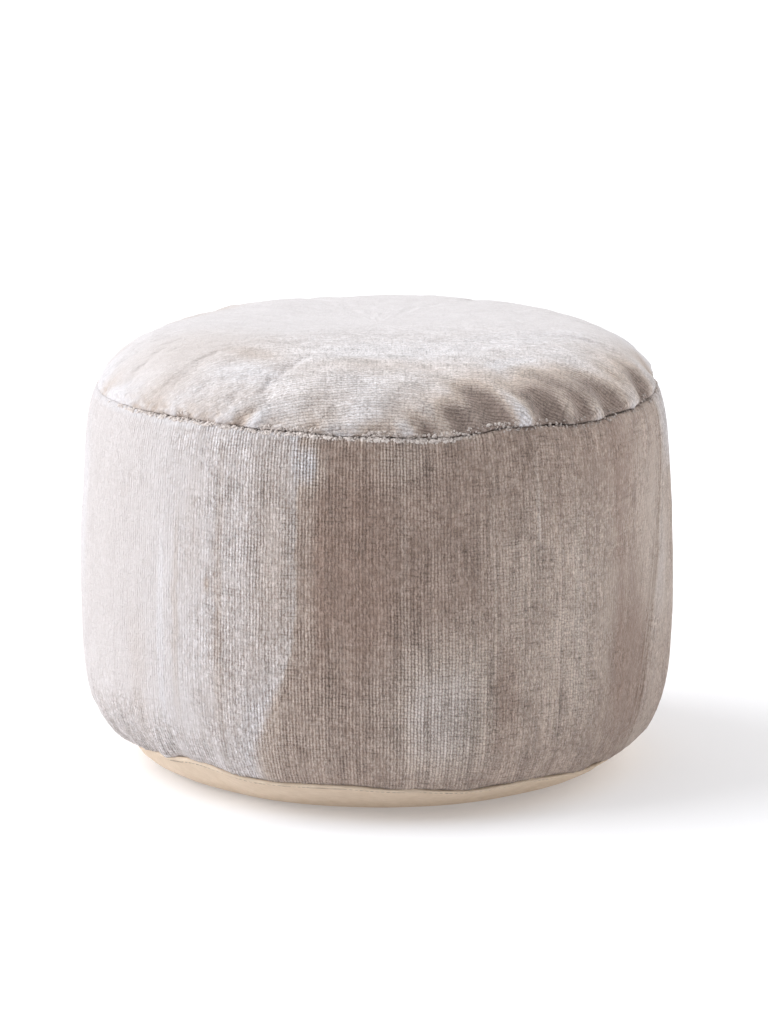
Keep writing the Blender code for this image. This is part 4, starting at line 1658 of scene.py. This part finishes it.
@dataclass
class BaseSeamStitches:
    """The running stitches that hold the canvas under the band."""

    base: BasePanel
    count: int = 330
    steps: int = 6
    length: float = 0.0034
    width: float = 0.00100
    below: float = 0.0032
    turn_spread: float = 0.06
    rise_spread: float = 0.00012

    def build(self, material: bpy.types.Material) -> Thing:
        """Builds and dresses the stitches; returns the piece."""
        draw = np.random.default_rng(51)
        form = self.base.form
        azimuth = np.arange(self.count) * 360.0 / self.count
        azimuth = azimuth + draw.normal(0.0, self.turn_spread, self.count)
        half = np.degrees(self.length / 2.0 / form.base_seam_radius)
        steps = np.linspace(-1.0, 1.0, self.steps)[None]
        spots = azimuth[:, None] + half * steps
        seam = form.seam_height(ClothSide.BASE, spots)
        tilt = draw.normal(0.0, self.rise_spread, self.count)[:, None]
        height = seam - self.below + tilt * steps
        share = np.clip(height / seam, 0.0, 1.0)
        line = self.base.curve.line[: int(np.argmax(self.base.curve.line[:, 1]))]
        radius = np.interp(share * form.base_seam_height, line[:, 1], line[:, 0])
        radius = radius + form.fill_swell(spots, seam) * share - self.base.tucked(spots, share)
        bulge = 0.00020 * (1.0 - steps**2) - 0.00045 * steps**4
        thickness = self.width * np.sqrt(np.maximum(1.0 - (steps * 0.9) ** 4, 0.1))
        strands = Strands(
            around(spots, radius + bulge, height), np.repeat(thickness, self.count, axis=0),
            draw.uniform(0.2, 0.8, self.count),
        )
        return dress(strands.build("base_seam_stitches"), material)


@dataclass(frozen=True)
class WindowLight:
    """A broad, far, soft light; its strength is how bright it makes a white face turned to it."""

    name: str
    azimuth: float
    elevation: float
    spread: float
    strength: float
    colour: tuple[float, float, float]

    def build(self, target: Vector) -> None:
        """Hangs the light and turns it to the target."""
        light = bpy.data.lights.new(self.name, "SUN")
        light.angle = math.radians(self.spread)
        light.energy = self.strength * math.pi
        light.color = self.colour
        turn, lift = math.radians(self.azimuth), math.radians(self.elevation)
        level = math.cos(lift)
        back = Vector((math.sin(turn) * level, -math.cos(turn) * level, math.sin(lift)))
        stand_back(linked(self.name, light), target, back, 2.5)


@dataclass
class Studio:
    """The pale floor, the soft light and the photograph's camera."""

    floor_half: float = 30.0
    floor_colour: Colour = (0.785, 0.785, 0.80, 1.0)
    floor_tint: Colour = (0.985, 0.985, 1.0, 1.0)
    floor_glow: float = 0.22
    sky_colour: Colour = (1.0, 0.995, 0.985, 1.0)
    sky: float = 0.19
    backdrop: float = 1.1
    lens: float = 145.2
    sensor: float = 36.0
    elevation: float = 12.68
    distance: float = 3.570
    seen_middle: float = 0.1858
    aim_right: float = 0.0052
    aim_up: float = 0.0237
    lights: tuple[WindowLight, ...] = table(
        WindowLight, ("window_left", -95.0, 34.0, 60.0, 1.10, (0.955, 0.972, 1.0)),
        ("window_right", 111.0, 35.0, 60.0, 0.54, (1.0, 0.985, 0.97)),
        ("ceiling", -125.0, 68.0, 90.0, 0.39, (0.93, 0.96, 1.0)),
    )

    def build_floor(self) -> None:
        """Lays the floor."""
        half = self.floor_half
        corners = [(-half, -half, 0.0), (half, -half, 0.0), (half, half, 0.0), (-half, half, 0.0)]
        mesh = bpy.data.meshes.new("floor")
        mesh.from_pydata(corners, [], [(0, 1, 2, 3)])
        paint, bench, shader = new_material("floor_white")
        bench.feed(shader, {
            "Base Color": self.floor_colour, "Roughness": 0.9, "Specular IOR Level": 0.1,
            "Emission Color": self.floor_tint, "Emission Strength": self.floor_glow,
        })
        mesh.materials.append(paint)
        linked("floor", mesh)

    def build_light(self) -> None:
        """Sets the sky and hangs the soft lights."""
        world = bpy.data.worlds.new("studio")
        bpy.context.scene.world = world
        world.use_nodes = True
        bench, nodes = NodeBench(world.node_tree), world.node_tree.nodes
        bench.feed(nodes["Background"].inputs, {"Color": self.sky_colour, "Strength": self.sky})
        seen = bench.node("ShaderNodeBackground", {"Strength": self.backdrop})[0]
        direct = bench.node("ShaderNodeLightPath")["Is Camera Ray"]
        ground = nodes["Background"].outputs[0]
        mixed = bench.node("ShaderNodeMixShader", {0: direct, 1: ground, 2: seen})[0]
        bench.feed(nodes["World Output"].inputs, {0: mixed})
        for light in self.lights:
            light.build(Vector((0.0, 0.0, self.seen_middle)))

    def build_camera(self) -> None:
        """Puts the camera at the photograph's viewing angle."""
        lens = bpy.data.cameras.new("camera")
        lens.lens = self.lens
        lens.sensor_width = self.sensor
        lens.clip_end = 100.0
        lift = math.radians(self.elevation)
        upward = Vector((0.0, math.sin(lift), math.cos(lift)))
        back = Vector((0.0, -math.cos(lift), math.sin(lift)))
        aim = Vector((self.aim_right, 0.0, self.seen_middle)) + upward * self.aim_up
        camera = linked("camera", lens)
        stand_back(camera, aim, back, self.distance)
        bpy.context.scene.camera = camera
        bpy.context.scene.view_settings.view_transform = "Standard"

    def build(self) -> None:
        """Builds the room."""
        self.build_floor()
        self.build_light()
        self.build_camera()


def settled_cloth(top: TopPanel, band: SideBand) -> tuple[Drift | None, Drift | None]:
    """Lets the cloth of the top and the band settle over the filling.

    Args:
        top: the top panel.
        band: the side band.

    Returns:
        The movement of the top and of the band.
    """
    settle = FillingSettle()
    band_rows, crown_rows, margin = settle.band_rows, settle.crown_rows, settle.margin
    on_band = np.linspace(margin, band.curve.length - margin, band_rows)
    on_top = np.linspace(margin, top.curve.length - settle.crown_margin, crown_rows)
    sides = band.surface(turns(settle.columns, band_rows), on_band[:, None])[0]
    crown = top.surface(turns(settle.columns, crown_rows), on_top[:, None])
    moved = settle.settle(np.concatenate([sides, crown]), (0, band_rows - 1, band_rows))
    on_sides, on_crown = moved[:band_rows], moved[band_rows:]
    centre = on_crown[-1:].mean(axis=1, keepdims=True) * np.ones_like(on_crown[:1])
    furthest = 1000.0 * float(np.linalg.norm(moved, axis=-1).max())
    LOG.info("cloth settled: furthest %.1f mm", furthest)
    top_drift = Drift(np.append(on_top, top.curve.length), np.concatenate([on_crown, centre]))
    return top_drift, Drift(on_band, on_sides)


def build_pouf(effects: ClothEffects) -> list[Thing]:
    """Builds every piece of the pouf.

    Args:
        effects: the shared node groups.

    Returns:
        The pieces in the order that they were built.
    """
    form = PoufForm()
    top, band, base = TopPanel(form), SideBand(form), BasePanel(form)
    band_cloth = PileFinish("band_pile").material(effects)
    top_cloth = PileFinish(
        "top_pile", crushed=(0.355, 0.284, 0.248, 1.0), wander=0.5, groove_shade=0.85,
        patches=0.24, streaks=0.12, slubs=0.12, rib_odds=0.10, rib_relief=0.00060,
    ).material(effects)
    loose = YarnFinish("loose_pile", (0.22, 0.165, 0.14, 1.0), (0.79, 0.715, 0.67, 1.0))
    # The stitches' dark brown is painted shade: it stands in for the shadowed dashes under the
    # canvas's lip
    thread_and_shade = YarnFinish("thread_and_shade", (0.24, 0.18, 0.14, 1.0), (0.50, 0.42, 0.34, 1.0), sheen=0.1)
    top_drift, band_drift = settled_cloth(top, band)
    return [
        top.build(top_drift, top_cloth),
        band.build(band_drift, band_cloth),
        base.build(CanvasFinish().material(effects)),
        TopSeamTufts(band, top).build(loose.material(effects)),
        BaseSeamStitches(base).build(thread_and_shade.material(effects)),
    ]


def main() -> None:
    """Loads the frame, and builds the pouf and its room."""
    logging.basicConfig(level=logging.INFO, format="%(name)s: %(message)s")
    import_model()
    for piece in build_pouf(ClothEffects()):
        triangles = sum(len(face.vertices) - 2 for face in piece.data.polygons)
        LOG.info("%s: %d triangles", piece.name, triangles)
    Studio().build()


if __name__ == "__main__":
    main()
